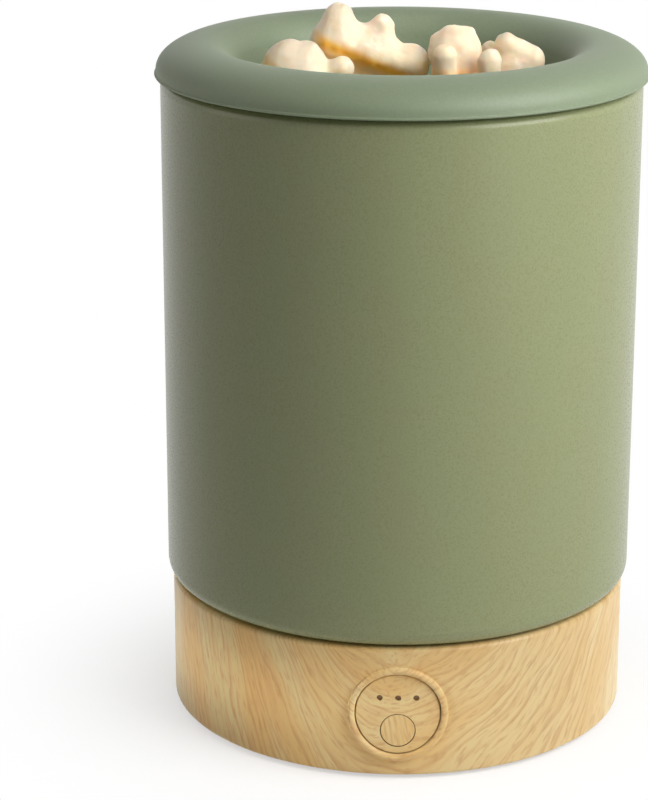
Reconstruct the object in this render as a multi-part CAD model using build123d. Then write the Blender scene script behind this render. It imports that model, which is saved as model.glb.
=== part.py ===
from build123d import *
import math
import os

os.makedirs("parts", exist_ok=True)

# Wax melt warmer: a round wood-look base with a touch of electronics, a ceramic
# body clamped on it, and a soft silicone dish that lifts off a heated plate.
# Millimetres, +Z up, the front panel faces -Y and z = 0 is the table.

# Driving sizes of the whole object, and how the other outlines follow its body
body_r = 55.0
body_h = 118.8
base_h = 30.8
base_step = 1.2
dish_lip_over = 1.3
dish_crest_share = 0.822
dish_roll_share = 0.136
dish_rise = 7.5
dish_depth = 20.0
base_r = body_r - base_step
dish_lip_r = body_r + dish_lip_over
dish_crest_r = body_r * dish_crest_share
dish_roll_r = body_r * dish_roll_share

# Shared clearances, and one overrun for all cuts
slip_gap = 0.1
fit_gap = 0.15
seam_gap = 0.4
screw_gap = 0.2
thread_gap = 0.05
cut_over = 5.0

# M3 and M2 fasteners
m3_r = 1.5
m3_head_r = 2.75
m3_head_h = 2.0
m3_nut_flats = 5.5
m3_nut_h = 2.4
m2_r = 1.0
m2_head_r = 1.9
m2_head_h = 1.3
dome_share = 0.3
drive_share = 0.5
quarter_turn = 90.0
half_turn = 180.0
full_turn = 360.0

# Feet
foot_r = 6.0
foot_proud = 0.8
foot_recess = 1.0
foot_inset = 15.2
foot_edge = 0.4
foot_count = 4
corner_turn = 45.0

# Wood-look housing
base_wall = 2.6
deck_t = 3.0
base_edge = 1.0
spigot_h = 3.0
spigot_wall = 2.0
spigot_gap = 0.4
boss_r = 3.5
boss_merge = 0.6
boss_hole_depth = 12.0
base_bottom = foot_proud
deck_top = base_bottom + base_h
deck_under = deck_top - deck_t
base_in_r = base_r - base_wall
boss_circle_r = base_in_r - boss_r + boss_merge
foot_circle_r = base_in_r - foot_inset
skin_mid_r = base_r - base_wall / 2

# Base plate
plate_recess = 0.4
base_plate_t = 2.4
vent_count = 7
vent_w = 2.0
vent_inset = 15.0
vent_pitch_share = 0.214
base_screw_len = 10.0
base_screw_head_h = 1.7
base_plate_z = base_bottom + plate_recess
base_plate_top = base_plate_z + base_plate_t
vent_reach = foot_circle_r - vent_inset
vent_pitch = vent_reach * vent_pitch_share

# Front panel, pressed button and lights
panel_below_middle = 0.1
bezel_r = 11.3
bezel_proud = 1.2
bezel_edge = 0.72
pocket_gap = 0.2
panel_r = 9.55
panel_proud = 0.35
panel_t = 3.0
panel_edge = 0.3
ledge_w = 1.0
ledge_t = 1.3
ledge_wall = 2.1
button_drop = 3.95
button_r = 3.9
button_gap = 0.12
button_edge = 0.25
flange_w = 0.6
flange_t = 0.8
button_travel = 0.6
light_rise = 3.9
light_pitch = 4.1
light_count = 3
light_hole_r = 0.7
light_pin_r = 0.62
light_recess = 0.6
light_bar_h = 2.4
light_bar_t = 1.0
light_bar_over = 1.6
light_stub_gap = 0.3
panel_z = (base_bottom + deck_top) / 2 - panel_below_middle
pocket_r = panel_r + pocket_gap
panel_back_y = panel_t - base_r - panel_proud
button_z = panel_z - button_drop
light_z = panel_z + light_rise
flange_y = panel_back_y + thread_gap
button_back_y = flange_y + flange_t

# Control board behind the panel
board_t = 1.6
switch_side = 6.0
switch_h = 3.4
switch_edge = 0.4
plunger_r = 1.7
plunger_len = 2.6
control_board_w = 31.0
control_board_top_gap = 2.6
control_board_low_gap = 1.6
post_r = 2.6
post_spread = 13.3
control_screw_len = 5.0
led_w = 1.6
led_h = 0.9
led_t = 0.7
switch_face_y = button_back_y + button_travel + slip_gap
control_board_y = switch_face_y + switch_h
control_board_back_y = control_board_y + board_t

# Main board on the base plate
main_board_lift = 5.4
main_board_front = 8.0
main_board_rear_gap = 7.2
main_board_gap = 2.0
main_board_corner = 2.0
main_post_inset = 3.5
main_screw_len = 5.0
main_board_z = base_plate_top + main_board_lift
main_board_top = main_board_z + board_t
main_board_rear = base_in_r - main_board_rear_gap
main_board_side = math.sqrt((base_in_r - main_board_gap) ** 2 - main_board_rear**2)

# DC inlet at the rear
jack_w = 9.0
jack_h = 11.0
jack_len = 12.6
jack_nose_r = 4.0
jack_nose_len = 2.2
jack_bore_r = 2.8
jack_bore_depth = 9.5
jack_axis_rise = 6.5
jack_pin_r = 1.0
jack_pin_short = 0.6
jack_pad_w = 17.0
jack_pad_in = 1.4
jack_backing = 3.4
jack_backing_w = 20.0
jack_pad_edge = 1.5
jack_z = main_board_top + jack_axis_rise
jack_pad_y = base_r - jack_pad_in
jack_seat_y = jack_pad_y - jack_backing
jack_nose_y = jack_seat_y + jack_nose_len
jack_floor_y = jack_nose_y - jack_bore_depth

# Parts that stand on the main board, each set in from the edges it is nearest to
capacitor_r = 4.0
capacitor_h = 11.5
capacitor_vent = 0.4
capacitor_side_gap = 10.0
capacitor_rear_gap = 11.0
coil_r = 5.0
coil_h = 7.0
coil_flange_t = 1.2
coil_core_r = 4.2
coil_side_gap = 8.5
coil_rear_gap = 12.5
chip_l = 8.7
chip_w = 3.9
chip_h = 1.5
chip_leg_count = 7
chip_leg_w = 0.5
chip_leg_reach = 1.0
chip_leg_t = 0.3
chip_side_gap = 9.5
chip_front_gap = 13.0
transistor_w = 8.0
transistor_t = 3.4
transistor_h = 7.5
transistor_tab_h = 11.2
transistor_tab_t = 1.2
transistor_hole_r = 1.5
transistor_side_gap = 9.0
transistor_rear_gap = 24.0
plug_w = 7.4
plug_d = 5.8
plug_h = 6.5
plug_slot = 0.8
heater_plug_x = 0.0
heater_plug_front_gap = 9.0
sensor_plug_side_gap = 11.0
sensor_plug_front_gap = 20.0
wire_pitch = 2.5
ribbon_w = 9.0
ribbon_t = 0.7
ribbon_socket_d = 4.4
ribbon_socket_w = 12.0
ribbon_socket_h = 4.2
ribbon_edge_gap = 0.6
ribbon_sag = 3.4
ribbon_run_share = 0.2
plug_top = main_board_top + plug_h
ribbon_z = main_board_top + ribbon_socket_h / 2
capacitor_x = capacitor_side_gap - main_board_side
capacitor_y = main_board_rear - capacitor_rear_gap
coil_x = main_board_side - coil_side_gap
coil_y = main_board_rear - coil_rear_gap
chip_x = chip_side_gap - main_board_side
chip_y = chip_front_gap - main_board_front
transistor_x = transistor_side_gap - main_board_side
transistor_y = main_board_rear - transistor_rear_gap
heater_plug_y = heater_plug_front_gap - main_board_front
sensor_plug_x = main_board_side - sensor_plug_side_gap
sensor_plug_y = sensor_plug_front_gap - main_board_front

# Ceramic body and its gasket
gasket_t = 0.5
gasket_inset = 8.0
gasket_w = 7.0
body_wall = 4.0
body_floor = 5.0
body_foot_round = 3.5
body_inner_round = 4.0
body_rim_round = 2.3
body_rim_inner_round = 1.2
body_hole_margin = 2.0
body_screw_gap = 0.7
body_z = deck_top + gasket_t
body_top = body_z + body_h
body_bore_r = body_r - body_wall
body_floor_top = body_z + body_floor
gasket_out_r = body_r - gasket_inset
gasket_in_r = gasket_out_r - gasket_w

# Silicone dish: the turn is how far its rim rolls over before the straight wall
dish_wall = 2.3
dish_lip_side = 1.2
dish_lip_bevel = 0.5
dish_roll_turn = 78.0
dish_floor_round = 5.0
dish_skirt_gap = 0.4
dish_skirt_depth = 4.0
dish_skirt_t = 1.8
dish_skirt_lead = 0.6
dish_lip_z = body_top + seam_gap
dish_crest_z = dish_lip_z + dish_rise
dish_floor_z = dish_crest_z - dish_depth
dish_under_z = dish_floor_z - dish_wall
dish_skirt_r = body_bore_r - dish_skirt_gap
dish_turn = math.radians(dish_roll_turn)
dish_roll_z = dish_crest_z - dish_roll_r
dish_throat_r = dish_crest_r - dish_roll_r * math.sin(dish_turn)
dish_throat_z = dish_roll_z + dish_roll_r * math.cos(dish_turn)
dish_foot_r = dish_throat_r - (dish_throat_z - dish_floor_z) / math.tan(dish_turn)
dish_flat_r = dish_foot_r - dish_floor_round * math.tan(dish_turn / 2)

# Hot plate under the dish, in its heat-proof holder
hot_plate_margin = 0.8
hot_plate_t = 4.0
hot_plate_edge = 0.5
holder_wall = 2.15
holder_below_rim = 1.0
holder_ledge_w = 4.2
holder_ledge_t = 2.0
holder_room = 12.0
holder_floor_t = 2.0
holder_floor_in = 4.8
hot_plate_r = dish_flat_r - hot_plate_margin
hot_plate_z = dish_under_z - hot_plate_t
holder_floor_top = hot_plate_z - holder_room
holder_z = holder_floor_top - holder_floor_t
holder_cup_r = hot_plate_r + fit_gap
holder_r = holder_cup_r + holder_wall
holder_ledge_r = hot_plate_r - holder_ledge_w
holder_screw_circle_r = (holder_ledge_r + holder_cup_r) / 2
holder_screw_len = 4.0
holder_screw_turn = 30.0

# Heating element with its strap, fuse and temperature sensor
element_l_share = 1.16
element_w_share = 0.56
element_h = 5.0
element_edge = 0.6
terminal_w = 1.8
terminal_len = 3.4
terminal_t = 0.8
terminal_spread = 4.0
strap_w = 8.0
strap_t = 1.0
strap_foot = 6.0
strap_gap = 0.2
element_screw_len = 3.6
fuse_r = 2.0
fuse_len = 9.0
fuse_gap = 0.8
fuse_flat = 0.3
fuse_lead_r = 0.5
fuse_lead_len = 1.6
fuse_turn_out = 2.4
fuse_turn_in = 6.0
link_turn_out = 3.2
link_turn_in = 3.2
tag_w = 6.0
tag_l = 8.5
tag_t = 0.8
tag_side_gap = 0.5
tag_gap = 0.7
bead_r = 1.9
bead_h = 3.0
sensor_pitch = 1.9
sensor_screw_len = 3.0
element_z = hot_plate_z - element_h
element_l = hot_plate_r * element_l_share
element_w = hot_plate_r * element_w_share
strap_leg_y = element_w / 2 + strap_gap
strap_end_y = strap_leg_y + strap_t + strap_foot
strap_screw_y = strap_leg_y + strap_t + strap_foot / 2
fuse_y = -(strap_end_y + fuse_gap + fuse_r)
fuse_z = hot_plate_z - fuse_r + fuse_flat
tag_x = strap_w / 2 + tag_side_gap + tag_w / 2
tag_y = element_w / 2 + tag_gap
bead_y = tag_y + bead_r
sensor_screw_y = tag_y + tag_l - m2_head_r - fit_gap

# Stand of the heater inside the ceramic body
stand_inset = 5.2
stand_count = 3
stand_turn = 90.0
washer_r = 5.0
washer_t = 1.0
standoff_flats = 6.0
standoff_hole_depth = 9.5
shield_room = 8.0
shield_t = 0.6
shield_hole_r = 9.6
shield_lip_h = 3.0
spacer_r = 3.0
spacer_h = 10.0
stud_over = 1.0
clamp_grip = 8.0
shield_top_z = holder_z - spacer_h
shield_z = shield_top_z - shield_t
standoff_z = body_floor_top + washer_t
stand_circle_r = holder_cup_r - stand_inset
holder_floor_in_r = stand_circle_r - holder_floor_in
body_hole_r = stand_circle_r - washer_r - body_hole_margin
shield_r = body_bore_r - shield_room

# Grommet and wires through the deck
grommet_r = 6.0
grommet_flange_w = 1.6
grommet_flange_t = 1.2
grommet_bore_r = 3.8
wire_r = 0.8
wire_spread = 1.3
bend_share = 0.45

# Heights that the wires pass at, and how far out they hang there as shares
wire_cup_drop = 8.0
wire_shield_drop = 7.5
wire_deck_drop = 2.4
heater_turn_share = 0.4
sensor_turn_share = 0.6
sensor_out_share = 0.2
wire_cup_z = hot_plate_z - wire_cup_drop
wire_exit_z = (holder_z + shield_top_z) / 2
wire_shield_z = shield_z - wire_shield_drop
wire_low_z = (shield_z + standoff_z) / 2
wire_deck_z = deck_under - wire_deck_drop
wire_room = wire_deck_z - plug_top
heater_wire_shares = [(-0.50, 0.06), (-0.32, -0.04)]
return_wire_shares = [(0.34, -0.40), (0.20, -0.26)]
sensor_wire_shares = [(0.30, 0.42), (0.12, 0.28)]
second_sensor_wire_shares = [(0.42, 0.34), (0.27, 0.20)]

# Wax melts: rounded lumps, each from tapered limbs between two balls.
# A ball is (x, y, height, radius) as shares of the dish's flat floor radius.
front_left_melt_shares = [
    ((-0.783, -0.390, 0.500, 0.212), (-0.730, -0.340, 0.390, 0.190)),
    ((-0.730, -0.340, 0.390, 0.190), (-0.697, -0.307, 0.100, 0.173)),
    ((-0.433, -0.390, 0.490, 0.093), (-0.583, -0.373, 0.307, 0.103)),
    ((-0.883, -0.390, 0.633, 0.073), (-0.833, -0.390, 0.567, 0.083)),
    ((-0.690, -0.390, 0.653, 0.067), (-0.733, -0.390, 0.583, 0.083)),
]
back_melt_shares = [
    ((-0.470, 0.033, 0.567, 0.200), (-0.097, 0.033, 0.487, 0.193)),
    ((-0.463, 0.033, 0.817, 0.113), (-0.447, 0.033, 0.567, 0.180)),
    ((-0.143, 0.033, 0.757, 0.083), (-0.150, 0.033, 0.533, 0.100)),
    ((0.063, 0.017, 0.480, 0.157), (-0.063, 0.027, 0.437, 0.150)),
    ((-0.403, 0.063, 0.487, 0.163), (-0.390, 0.080, 0.080, 0.150)),
    ((-0.050, 0.080, 0.420, 0.143), (-0.050, 0.097, 0.080, 0.137)),
]
middle_melt_shares = [
    ((0.397, -0.097, 0.597, 0.180), (0.437, -0.113, 0.367, 0.167)),
    ((0.437, -0.113, 0.367, 0.167), (0.437, -0.097, 0.097, 0.160)),
    ((0.267, -0.097, 0.713, 0.062), (0.317, -0.097, 0.650, 0.067)),
    ((0.480, -0.097, 0.740, 0.062), (0.447, -0.097, 0.667, 0.067)),
    ((0.297, -0.290, 0.553, 0.100), (0.373, -0.147, 0.307, 0.107)),
    ((0.637, -0.290, 0.543, 0.087), (0.517, -0.147, 0.307, 0.100)),
]
right_melt_shares = [
    ((0.843, 0.033, 0.530, 0.175), (0.810, 0.057, 0.373, 0.170)),
    ((0.810, 0.057, 0.373, 0.170), (0.793, 0.063, 0.097, 0.160)),
    ((0.943, 0.050, 0.447, 0.133), (0.827, 0.063, 0.323, 0.143)),
    ((0.660, 0.163, 0.563, 0.070), (0.760, 0.097, 0.420, 0.097)),
]


def disc(radius, low, high, x=0.0, y=0.0):
    """Upright cylinder between two heights."""
    return Pos(x, y, (low + high) / 2) * Cylinder(radius, high - low)


def block(x0, x1, y0, y1, z0, z1):
    """Box between two corners."""
    middle = Pos((x0 + x1) / 2, (y0 + y1) / 2, (z0 + z1) / 2)
    return middle * Box(x1 - x0, y1 - y0, z1 - z0)


def bar(radius, y0, y1, x, z):
    """Cylinder that lies along Y."""
    middle = Pos(x, (y0 + y1) / 2, z)
    return middle * Rot(quarter_turn, 0, 0) * Cylinder(radius, y1 - y0)


def rod(radius, x0, x1, y, z):
    """Cylinder that lies along X."""
    middle = Pos((x0 + x1) / 2, y, z)
    return middle * Rot(0, quarter_turn, 0) * Cylinder(radius, x1 - x0)


def hexagon(flats, low, high, x, y):
    """Upright hexagonal bar."""
    outline = RegularPolygon(flats / 2, 6, major_radius=False)
    return Pos(x, y, low) * extrude(outline, high - low)


def ring(inner, outer, low, high):
    """Flat ring between two heights."""
    return disc(outer, low, high) - disc(inner, low - cut_over, high + cut_over)


def ring_places(count, radius, turn):
    """Places at an even pitch on a circle."""
    angles = [math.radians(turn + full_turn * i / count) for i in range(count)]
    return [(radius * math.cos(a), radius * math.sin(a)) for a in angles]


def screw(radius, head_r, head_h, length):
    """Pan-head screw, its seat at the origin and its shank up."""
    head = disc(head_r, -head_h, 0)
    head = fillet(head.edges().group_by(Axis.Z)[0], head_h * dome_share)
    head -= disc(head_r * drive_share, -head_h - cut_over, -head_h * drive_share)
    return head + disc(radius, 0, length)


def m3_screw(length, x, y, seat):
    """Upright M3 screw under a seat."""
    return Pos(x, y, seat) * screw(m3_r, m3_head_r, m3_head_h, length)


def m2_screw(length, x, y, seat):
    """Upright M2 screw under a seat."""
    return Pos(x, y, seat) * screw(m2_r, m2_head_r, m2_head_h, length)


def front_skin(proud):
    """Round bar that curves as the base's wall does, standing proud of it."""
    return disc(base_r + proud, base_bottom, deck_top)


def curved_front(radius, proud, back_y, z, edge):
    """Round plug along Y whose face follows the base's curve, its rim rounded."""
    plug = bar(radius, -base_r - cut_over, back_y, 0, z) & front_skin(proud)
    return fillet(plug.faces().sort_by(Axis.Y)[0].edges(), edge)


def corner_places():
    """Places of the base's four screw bosses."""
    return ring_places(foot_count, boss_circle_r, corner_turn)


def foot_places():
    """Places of the four feet."""
    return ring_places(foot_count, foot_circle_r, corner_turn)


def stand_places():
    """Places of the three stands of the heater."""
    return ring_places(stand_count, stand_circle_r, stand_turn)


def main_post_places():
    """Places of the main board's four posts."""
    x = main_board_side - main_post_inset
    front = main_post_inset - main_board_front
    rear = main_board_rear - main_post_inset
    return [(-x, front), (x, front), (-x, rear), (x, rear)]


def panel_bezel():
    """Raised rounded ring on the base's front, with its inner ledge."""
    collar = bar(bezel_r, -base_r - cut_over, -base_in_r, 0, panel_z)
    collar -= bar(pocket_r, -base_r - 2 * cut_over, 0, 0, panel_z)
    collar &= front_skin(bezel_proud)
    collar = fillet(collar.faces().sort_by(Axis.Y)[0].edges(), bezel_edge)
    seat_r = pocket_r + ledge_wall
    seat = bar(seat_r, -base_r, panel_back_y + ledge_t, 0, panel_z)
    return collar + (seat & disc(skin_mid_r, base_bottom, deck_under))


def board_posts():
    """Posts behind the panel that carry the control board."""
    posts = []
    for x in (-post_spread, post_spread):
        post = bar(post_r, -base_r, control_board_y, x, panel_z)
        posts.append(post & disc(skin_mid_r, base_bottom, deck_under))
    return posts


def board_post_holes():
    """Blind screw holes of the control board's posts."""
    end = control_board_back_y - control_screw_len - thread_gap
    radius = m2_r + thread_gap
    spots = (-post_spread, post_spread)
    return [bar(radius, end, control_board_y + cut_over, x, panel_z) for x in spots]


def jack_backing_block():
    """Thickened wall behind the inlet."""
    half = jack_backing_w / 2
    low = max(jack_z - half, base_plate_top + fit_gap)
    pad = block(-half, half, jack_seat_y, base_r, low, jack_z + half)
    return pad & disc(skin_mid_r, base_bottom, deck_top)


def jack_recess():
    """Flat recess outside the inlet and the hole for its nose."""
    half = jack_pad_w / 2
    outline = RectangleRounded(jack_pad_w, jack_pad_w, jack_pad_edge)
    face = Plane((0, jack_pad_y, jack_z), x_dir=(-1, 0, 0), z_dir=(0, 1, 0)) * outline
    hole = bar(jack_nose_r + slip_gap, jack_seat_y - cut_over, base_r + half, 0, jack_z)
    return [extrude(face, cut_over), hole]


def wood_base_housing():
    """Cup open below, its deck on top, with bezel, bosses, posts and inlet seat."""
    shell = disc(base_r, base_bottom, deck_top)
    shell = fillet(shell.edges().filter_by(GeomType.CIRCLE), base_edge)
    shell -= disc(base_in_r, base_bottom - cut_over, deck_under)
    for x, y in corner_places():
        shell += disc(boss_r, base_plate_top, deck_under, x, y)
    spigot_r = body_hole_r - spigot_gap
    shell += ring(spigot_r - spigot_wall, spigot_r, deck_top, deck_top + spigot_h)
    shell -= bar(bezel_r, -base_r - cut_over, -base_in_r / 2, 0, panel_z)
    shell += [panel_bezel(), jack_backing_block(), *board_posts()]
    cuts = [
        bar(pocket_r, -base_r - cut_over, panel_back_y, 0, panel_z),
        bar(pocket_r - ledge_w, -base_r, panel_back_y + cut_over, 0, panel_z),
        disc(grommet_r, deck_under - cut_over, deck_top + cut_over),
    ]
    cuts += jack_recess() + board_post_holes()
    for x, y in corner_places():
        top = base_plate_top + boss_hole_depth
        cuts.append(disc(m3_r + thread_gap, base_bottom, top, x, y))
    for x, y in stand_places():
        low, high = deck_under - cut_over, deck_top + cut_over
        cuts.append(disc(m3_r + screw_gap, low, high, x, y))
    return shell - cuts


def vent_slots():
    """Row of round-ended air slots across the middle of the base plate."""
    slots = []
    for i in range(vent_count):
        x = (i - (vent_count - 1) / 2) * vent_pitch
        length = 2 * math.sqrt(vent_reach**2 - x**2)
        outline = SlotOverall(length, vent_w, rotation=quarter_turn)
        slots.append(Pos(x, 0, base_bottom) * extrude(outline, base_plate_t + cut_over))
    return slots


def base_plate():
    """Round plate that closes the base, with vents, board posts and foot recesses."""
    plate = disc(base_in_r - fit_gap, base_plate_z, base_plate_top)
    plate -= vent_slots()
    for x, y in main_post_places():
        plate += disc(post_r, base_plate_z, main_board_z, x, y)
    for x, y in main_post_places():
        end = main_board_top - main_screw_len - thread_gap
        plate -= disc(m2_r + thread_gap, end, main_board_top, x, y)
    for x, y in foot_places():
        recess_top = base_plate_z + foot_recess
        plate -= disc(foot_r + slip_gap, base_bottom, recess_top, x, y)
    for x, y in corner_places():
        plate -= disc(m3_r + screw_gap, base_bottom, base_plate_top + slip_gap, x, y)
        plate -= Pos(x, y, base_plate_z) * base_screw_head(screw_gap)
    return plate


def base_screw_head(gap):
    """Cone of a countersunk head, point up, with a gap around it."""
    cone = Cone(m3_head_r + gap, m3_r + gap, base_screw_head_h)
    return Pos(0, 0, base_screw_head_h / 2) * cone


def base_plate_screws():
    """Countersunk screws, flush with the base plate."""
    body = base_screw_head(0) + disc(m3_r, 0, base_screw_len)
    body -= disc(m3_head_r * drive_share, -cut_over, base_screw_head_h * drive_share)
    return Compound([Pos(x, y, base_plate_z) * body for x, y in corner_places()])


def rubber_foot(x, y):
    """Soft foot pressed into the base plate's recess."""
    foot = disc(foot_r, 0, base_plate_z + foot_recess, x, y)
    return fillet(foot.edges().group_by(Axis.Z)[0], foot_edge)


def light_places():
    """Sideways places of the three lights."""
    middle = (light_count - 1) / 2
    return [(i - middle) * light_pitch for i in range(light_count)]


def control_panel():
    """Round panel in the bezel, with holes for the button and three lights."""
    panel = curved_front(panel_r, panel_proud, panel_back_y, panel_z, panel_edge)
    panel -= bar(button_r + button_gap, -base_r - cut_over, 0, 0, button_z)
    for x in light_places():
        panel -= bar(light_hole_r, -base_r - cut_over, 0, x, light_z)
    return panel


def power_button():
    """Button whose face continues the panel, held back by its flange."""
    cap = curved_front(button_r, panel_proud, button_back_y, button_z, button_edge)
    flange = bar(button_r + flange_w, flange_y, button_back_y, 0, button_z)
    return cap + flange


def light_guide():
    """Clear bar behind the panel with a pin in each light hole."""
    half = light_pitch * (light_count - 1) / 2 + light_bar_over
    low, high = light_z - light_bar_h / 2, light_z + light_bar_h / 2
    bar_end = panel_back_y + light_bar_t
    guide = block(-half, half, panel_back_y, bar_end, low, high)
    stub_end = control_board_y - led_t - light_stub_gap
    for x in light_places():
        front = light_recess - math.sqrt((base_r + panel_proud) ** 2 - x**2)
        guide += bar(light_pin_r, front, stub_end, x, light_z)
    return guide


def control_board():
    """Upright board on the two posts behind the panel."""
    half = control_board_w / 2
    low = base_plate_top + control_board_low_gap
    high = deck_under - control_board_top_gap
    board = block(-half, half, control_board_y, control_board_back_y, low, high)
    for x in (-post_spread, post_spread):
        board -= bar(m2_r + screw_gap, control_board_y - cut_over, 0, x, panel_z)
    return board


def control_board_screws():
    """Two screws that hold the control board to its posts."""
    body = screw(m2_r, m2_head_r, m2_head_h, control_screw_len)
    body = Rot(quarter_turn, 0, 0) * body
    spots = (-post_spread, post_spread)
    return Compound([Pos(x, control_board_back_y, panel_z) * body for x in spots])


def tact_switch():
    """Square switch body, open towards the button for its plunger."""
    half = switch_side / 2
    low, high = button_z - half, button_z + half
    body = block(-half, half, switch_face_y, control_board_y, low, high)
    body = chamfer(body.edges().filter_by(Axis.Y), switch_edge)
    front = switch_face_y - cut_over
    return body - bar(plunger_r + slip_gap, front, control_board_y, 0, button_z)


def switch_plunger():
    """Plunger between the button's back and the switch's spring."""
    return bar(plunger_r, button_back_y, button_back_y + plunger_len, 0, button_z)


def indicator_leds():
    """Three small lights on the control board, one behind each pin."""
    low, high = light_z - led_h / 2, light_z + led_h / 2
    face, back = control_board_y - led_t, control_board_y
    half = led_w / 2
    spots = light_places()
    return Compound([block(x - half, x + half, face, back, low, high) for x in spots])


def main_board():
    """Rounded board on the base plate's posts."""
    depth = main_board_front + main_board_rear
    outline = RectangleRounded(2 * main_board_side, depth, main_board_corner)
    middle = Pos(0, (main_board_rear - main_board_front) / 2, main_board_z)
    board = middle * extrude(outline, board_t)
    for x, y in main_post_places():
        board -= disc(m2_r + screw_gap, base_plate_z, main_board_top + cut_over, x, y)
    return board


def main_board_screws():
    """Four screws that hold the main board down, their heads on top."""
    body = Rot(half_turn, 0, 0) * screw(m2_r, m2_head_r, m2_head_h, main_screw_len)
    return Compound([Pos(x, y, main_board_top) * body for x, y in main_post_places()])


def controller_chip():
    """Flat chip with a row of legs along both sides."""
    front, back = chip_y - chip_w / 2, chip_y + chip_w / 2
    low = main_board_top + chip_leg_t
    leg_top = low + chip_h * drive_share
    left, right = chip_x - chip_l / 2, chip_x + chip_l / 2
    chip = block(left, right, front, back, low, low + chip_h)
    pitch = (chip_l - 2 * chip_leg_w) / (chip_leg_count - 1)
    reach = chip_w / 2 + chip_leg_reach
    half = chip_leg_w / 2
    for i in range(chip_leg_count):
        x = chip_x + (i - (chip_leg_count - 1) / 2) * pitch
        ends = (chip_y - reach, chip_y + reach)
        chip += block(x - half, x + half, *ends, main_board_top, leg_top)
    return chip - block(left - chip_l, right + chip_l, front, back, main_board_top, low)


def power_transistor():
    """Upright transistor with its metal tab and hole."""
    half = transistor_w / 2
    back = transistor_y + transistor_t / 2
    front = transistor_y - transistor_t / 2
    left, right = transistor_x - half, transistor_x + half
    body = block(left, right, front, back, main_board_top, main_board_top + transistor_h)
    tab_top = main_board_top + transistor_tab_h
    body += block(left, right, back - transistor_tab_t, back, main_board_top, tab_top)
    hole_z = main_board_top + (transistor_h + transistor_tab_h) / 2
    ends = (front - cut_over, back + cut_over)
    return body - bar(transistor_hole_r, *ends, transistor_x, hole_z)


def filter_capacitor():
    """Can with a rounded top and a score across it."""
    top = main_board_top + capacitor_h
    can = disc(capacitor_r, main_board_top, top, capacitor_x, capacitor_y)
    can = fillet(can.edges().group_by(Axis.Z)[-1], capacitor_vent)
    half = capacitor_vent / 2
    x0, x1 = capacitor_x - capacitor_r, capacitor_x + capacitor_r
    y0, y1 = capacitor_y - half, capacitor_y + half
    return can - block(x0, x1, y0, y1, top - half, top + cut_over)


def power_coil():
    """Drum coil: two flanges on a wound core."""
    base, top = main_board_top, main_board_top + coil_h
    coil = disc(coil_core_r, base, top, coil_x, coil_y)
    coil += disc(coil_r, base, base + coil_flange_t, coil_x, coil_y)
    return coil + disc(coil_r, top - coil_flange_t, top, coil_x, coil_y)


def wire_socket(x, y):
    """Upright two-way socket with a latch slot in its front."""
    half_w, half_d = plug_w / 2, plug_d / 2
    front, back = y - half_d, y + half_d
    body = block(x - half_w, x + half_w, front, back, main_board_top, plug_top)
    low, high = plug_top - plug_h * drive_share, plug_top + cut_over
    return body - block(x - plug_slot, x + plug_slot, front, front + plug_slot, low, high)


def ribbon_socket():
    """Low socket at the main board's front edge."""
    front = ribbon_edge_gap - main_board_front
    half = ribbon_socket_w / 2
    top = main_board_top + ribbon_socket_h
    return block(-half, half, front, front + ribbon_socket_d, main_board_top, top)


def ribbon_cable():
    """Flat cable from the control board, sagging once on its way to the main board."""
    start, end = control_board_back_y, ribbon_edge_gap - main_board_front
    run = (end - start) * ribbon_run_share
    low = ribbon_z - ribbon_sag
    points = [
        (0, start, ribbon_z),
        (0, start + run, ribbon_z),
        (0, (start + end) / 2, low),
        (0, end - run, ribbon_z),
        (0, end, ribbon_z),
    ]
    path = FilletPolyline(*points, radius=bend_radii(points))
    end_face = Plane(points[0], x_dir=(1, 0, 0), z_dir=(0, 1, 0))
    return sweep(end_face * Rectangle(ribbon_w, ribbon_t), path=path)


def dc_jack():
    """Inlet on the main board, its round nose in the base's rear wall."""
    half = jack_w / 2
    top = main_board_top + jack_h
    body = block(-half, half, jack_seat_y - jack_len, jack_seat_y, main_board_top, top)
    body += bar(jack_nose_r, jack_seat_y, jack_nose_y, 0, jack_z)
    return body - bar(jack_bore_r, jack_floor_y, jack_nose_y + cut_over, 0, jack_z)


def dc_jack_pin():
    """Centre pin that stands on the floor of the inlet's bore."""
    end = jack_nose_y - jack_pin_short
    pin = bar(jack_pin_r, jack_floor_y, end, 0, jack_z)
    return chamfer(pin.edges().group_by(Axis.Y)[-1], jack_pin_r * dome_share)


def deck_gasket():
    """Thin ring between the deck and the ceramic."""
    return ring(gasket_in_r, gasket_out_r, deck_top, body_z)


def rim_edges(cup):
    """Edges round the top of a cup, the outer one last."""
    return cup.edges().group_by(Axis.Z)[-1].sort_by(SortBy.LENGTH)


def ceramic_body():
    """Tall cup with a rounded foot, a hole for the wires and three for the stands."""
    cup = disc(body_r, body_z, body_top)
    foot = cup.edges().filter_by(GeomType.CIRCLE).group_by(Axis.Z)[0]
    cup = fillet(foot, body_foot_round)
    room = disc(body_bore_r, body_floor_top, body_top + cut_over)
    corner = room.edges().filter_by(GeomType.CIRCLE).group_by(Axis.Z)[0]
    cup -= fillet(corner, body_inner_round)
    cup = fillet(rim_edges(cup)[-1], body_rim_round)
    cup = fillet(rim_edges(cup)[0], body_rim_inner_round)
    cup -= disc(body_hole_r, body_z - cut_over, body_top)
    low, high = body_z - cut_over, body_floor_top + cut_over
    for x, y in stand_places():
        cup -= disc(m3_r + body_screw_gap, low, high, x, y)
    return cup


def turned_arc(centre, radius, start, end):
    """Arc about a centre, from one angle to another, in degrees."""
    angles = [math.radians(a) for a in (start, (start + end) / 2, end)]
    x, y = centre
    return ThreePointArc(*[(x + radius * math.cos(a), y + radius * math.sin(a)) for a in angles])


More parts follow.
